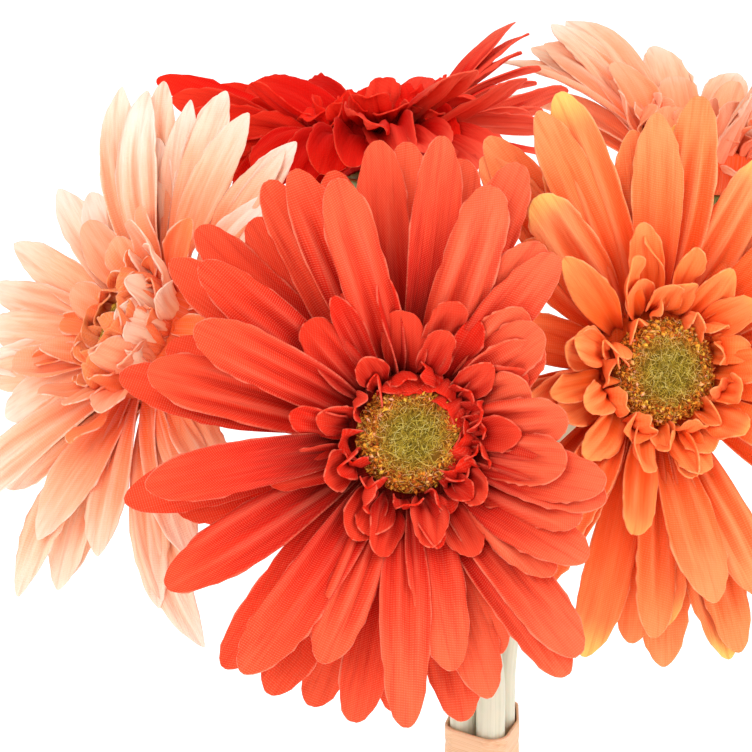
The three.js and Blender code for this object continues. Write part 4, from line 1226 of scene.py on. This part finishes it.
def vase_material():
    p = Paint("white_glaze", Coat_Weight=0.3, Coat_Roughness=0.08)
    drift = p.noise(p.place(), 0.03, 3)
    specks = p.noise(p.place(), 1.1, 1)
    colour = p.over("d0c8b9", "c2b8a6", drift, 0.35, 0.65)
    colour = p.over(colour, "94836a", specks, 0.7, 0.76, 0, 0.5)
    # The foot ring is bare of glaze.
    bare = p.remap(p.value("height"), 0.004, 0.02, 1, 0)
    colour = p.mix(bare, colour, "b8a88c")
    roughness = p.plus(p.remap(drift, 0.3, 0.7, 0.16, 0.28), p.times(bare, 0.5))
    wheel = p.noise(p.place(0.02, 0.02, 1), 0.35, 2)
    return p.finish(colour, roughness, p.bump(wheel, 0.12, 0.5, p.bump(specks, 0.05, 0.2)))


# ---- the part ----------------------------------------------------------------------------------

OWN_STEM_FROM = 30  # a bloom's petals keep clear of its own stem and cup beyond this
GUARDED_ABOVE = TIE_TOP - 20
GUARD_POINTS = 41
CUP_GUARDS = [(-4, 15), (-9, 16), (-14, 13), (-19, 7)]

frames = [BloomFrame(b) for b in BLOOMS]


def bloom_guards(bloom, fr):
    """Spheres along a stem and its calyx, which the petals keep clear of."""
    spheres = [(p, STEM_R) for p in stem_path(bloom, fr, GUARD_POINTS) if p[2] > GUARDED_ABOVE]
    return spheres + [(fr.centre + fr.axis * height, r) for height, r in CUP_GUARDS]


guards = [bloom_guards(bloom, fr) for bloom, fr in zip(BLOOMS, frames)]
disc_paint, calyx_paint, stem_paint = disc_material(), calyx_material(), stem_material()

for index, (bloom, fr) in enumerate(zip(BLOOMS, frames)):
    name = bloom["name"]
    walls = [
        (seen(at) + FRONT_CENTRE, unit(seen(normal)) * (1 if between[0] == name else -1))
        for between, at, normal in WALLS if name in between
    ]
    near_by = [
        (centre, r) for k, spheres in enumerate(guards) for centre, r in spheres
        if k != index or np.linalg.norm(centre - fr.centre) > OWN_STEM_FROM
    ]
    spheres = [np.array(column, float) for column in zip(*near_by)]
    build_petals(bloom, fr, walls, spheres, petal_material(f"{name}_cloth", PETAL_LOOKS[name]))
    build_disc(bloom, fr, disc_paint)
    build_calyx(bloom, fr, calyx_paint)
    build_stem(bloom, fr, stem_paint)
build_tie(tie_material())
build_vase(vase_material())

# ---- floor, light and camera -------------------------------------------------------------------

FLOOR_HALF = 6
FLOOR_GLOW = 0.45
WORLD_STRENGTH = 0.78
WHITE = "ffffff"
LIT_CENTRE = Vector((0, -0.02, 0.25))
PHOTO_SIZE = 752
FOCAL_PIXELS = 3964
SENSOR_WIDTH = 36
CAMERA_FROM = 800
AIM_RIGHT, AIM_UP = -6.46, 12.3

scene = bpy.context.scene

floor_mesh = bpy.data.meshes.new("floor")
floor_mesh.from_pydata([(x, y, 0) for x, y in ((-1, -1), (1, -1), (1, 1), (-1, 1))], [], [(0, 1, 2, 3)])
floor_mesh.transform(Matrix.Scale(FLOOR_HALF, 4))
floor_paint = Paint(
    "floor_white", Roughness=0.8, Base_Color=(0.93, 0.93, 0.93, 1), Emission_Color=WHITE,
    Emission_Strength=FLOOR_GLOW,
)
floor_mesh.materials.append(floor_paint.material)
floor = bpy.data.objects.new("floor", floor_mesh)
scene.collection.objects.link(floor)

world = bpy.data.worlds.new("studio")
scene.world = world
world.use_nodes = True
background = world.node_tree.nodes["Background"]
background.inputs["Color"].default_value = linear(WHITE)
background.inputs["Strength"].default_value = WORLD_STRENGTH


def area_light(name, offset, size, power):
    light = bpy.data.lights.new(name, "AREA")
    light.size = size
    light.energy = power
    obj = bpy.data.objects.new(name, light)
    scene.collection.objects.link(obj)
    obj.location = LIT_CENTRE + Vector(offset)
    obj.rotation_mode = "QUATERNION"
    obj.rotation_quaternion = (-Vector(offset)).to_track_quat("-Z", "Y")


area_light("key", (-0.45, -1.0, 0.85), 0.8, 8)
area_light("fill", (0.85, -0.6, 0.8), 1.0, 7.5)

camera_data = bpy.data.cameras.new("photo_view")
camera_data.sensor_width = SENSOR_WIDTH
camera_data.lens = SENSOR_WIDTH * FOCAL_PIXELS / PHOTO_SIZE
camera_data.clip_start, camera_data.clip_end = 0.05, 50
camera = bpy.data.objects.new("photo_view", camera_data)
scene.collection.objects.link(camera)
aim = FRONT_CENTRE + RIGHT * AIM_RIGHT + UP * AIM_UP
camera.location = Vector((aim + NEAR * CAMERA_FROM) * MM)
camera.rotation_mode = "QUATERNION"
camera.rotation_quaternion = Vector(-NEAR).to_track_quat("-Z", "Y")
scene.camera = camera
scene.view_settings.view_transform = "Standard"
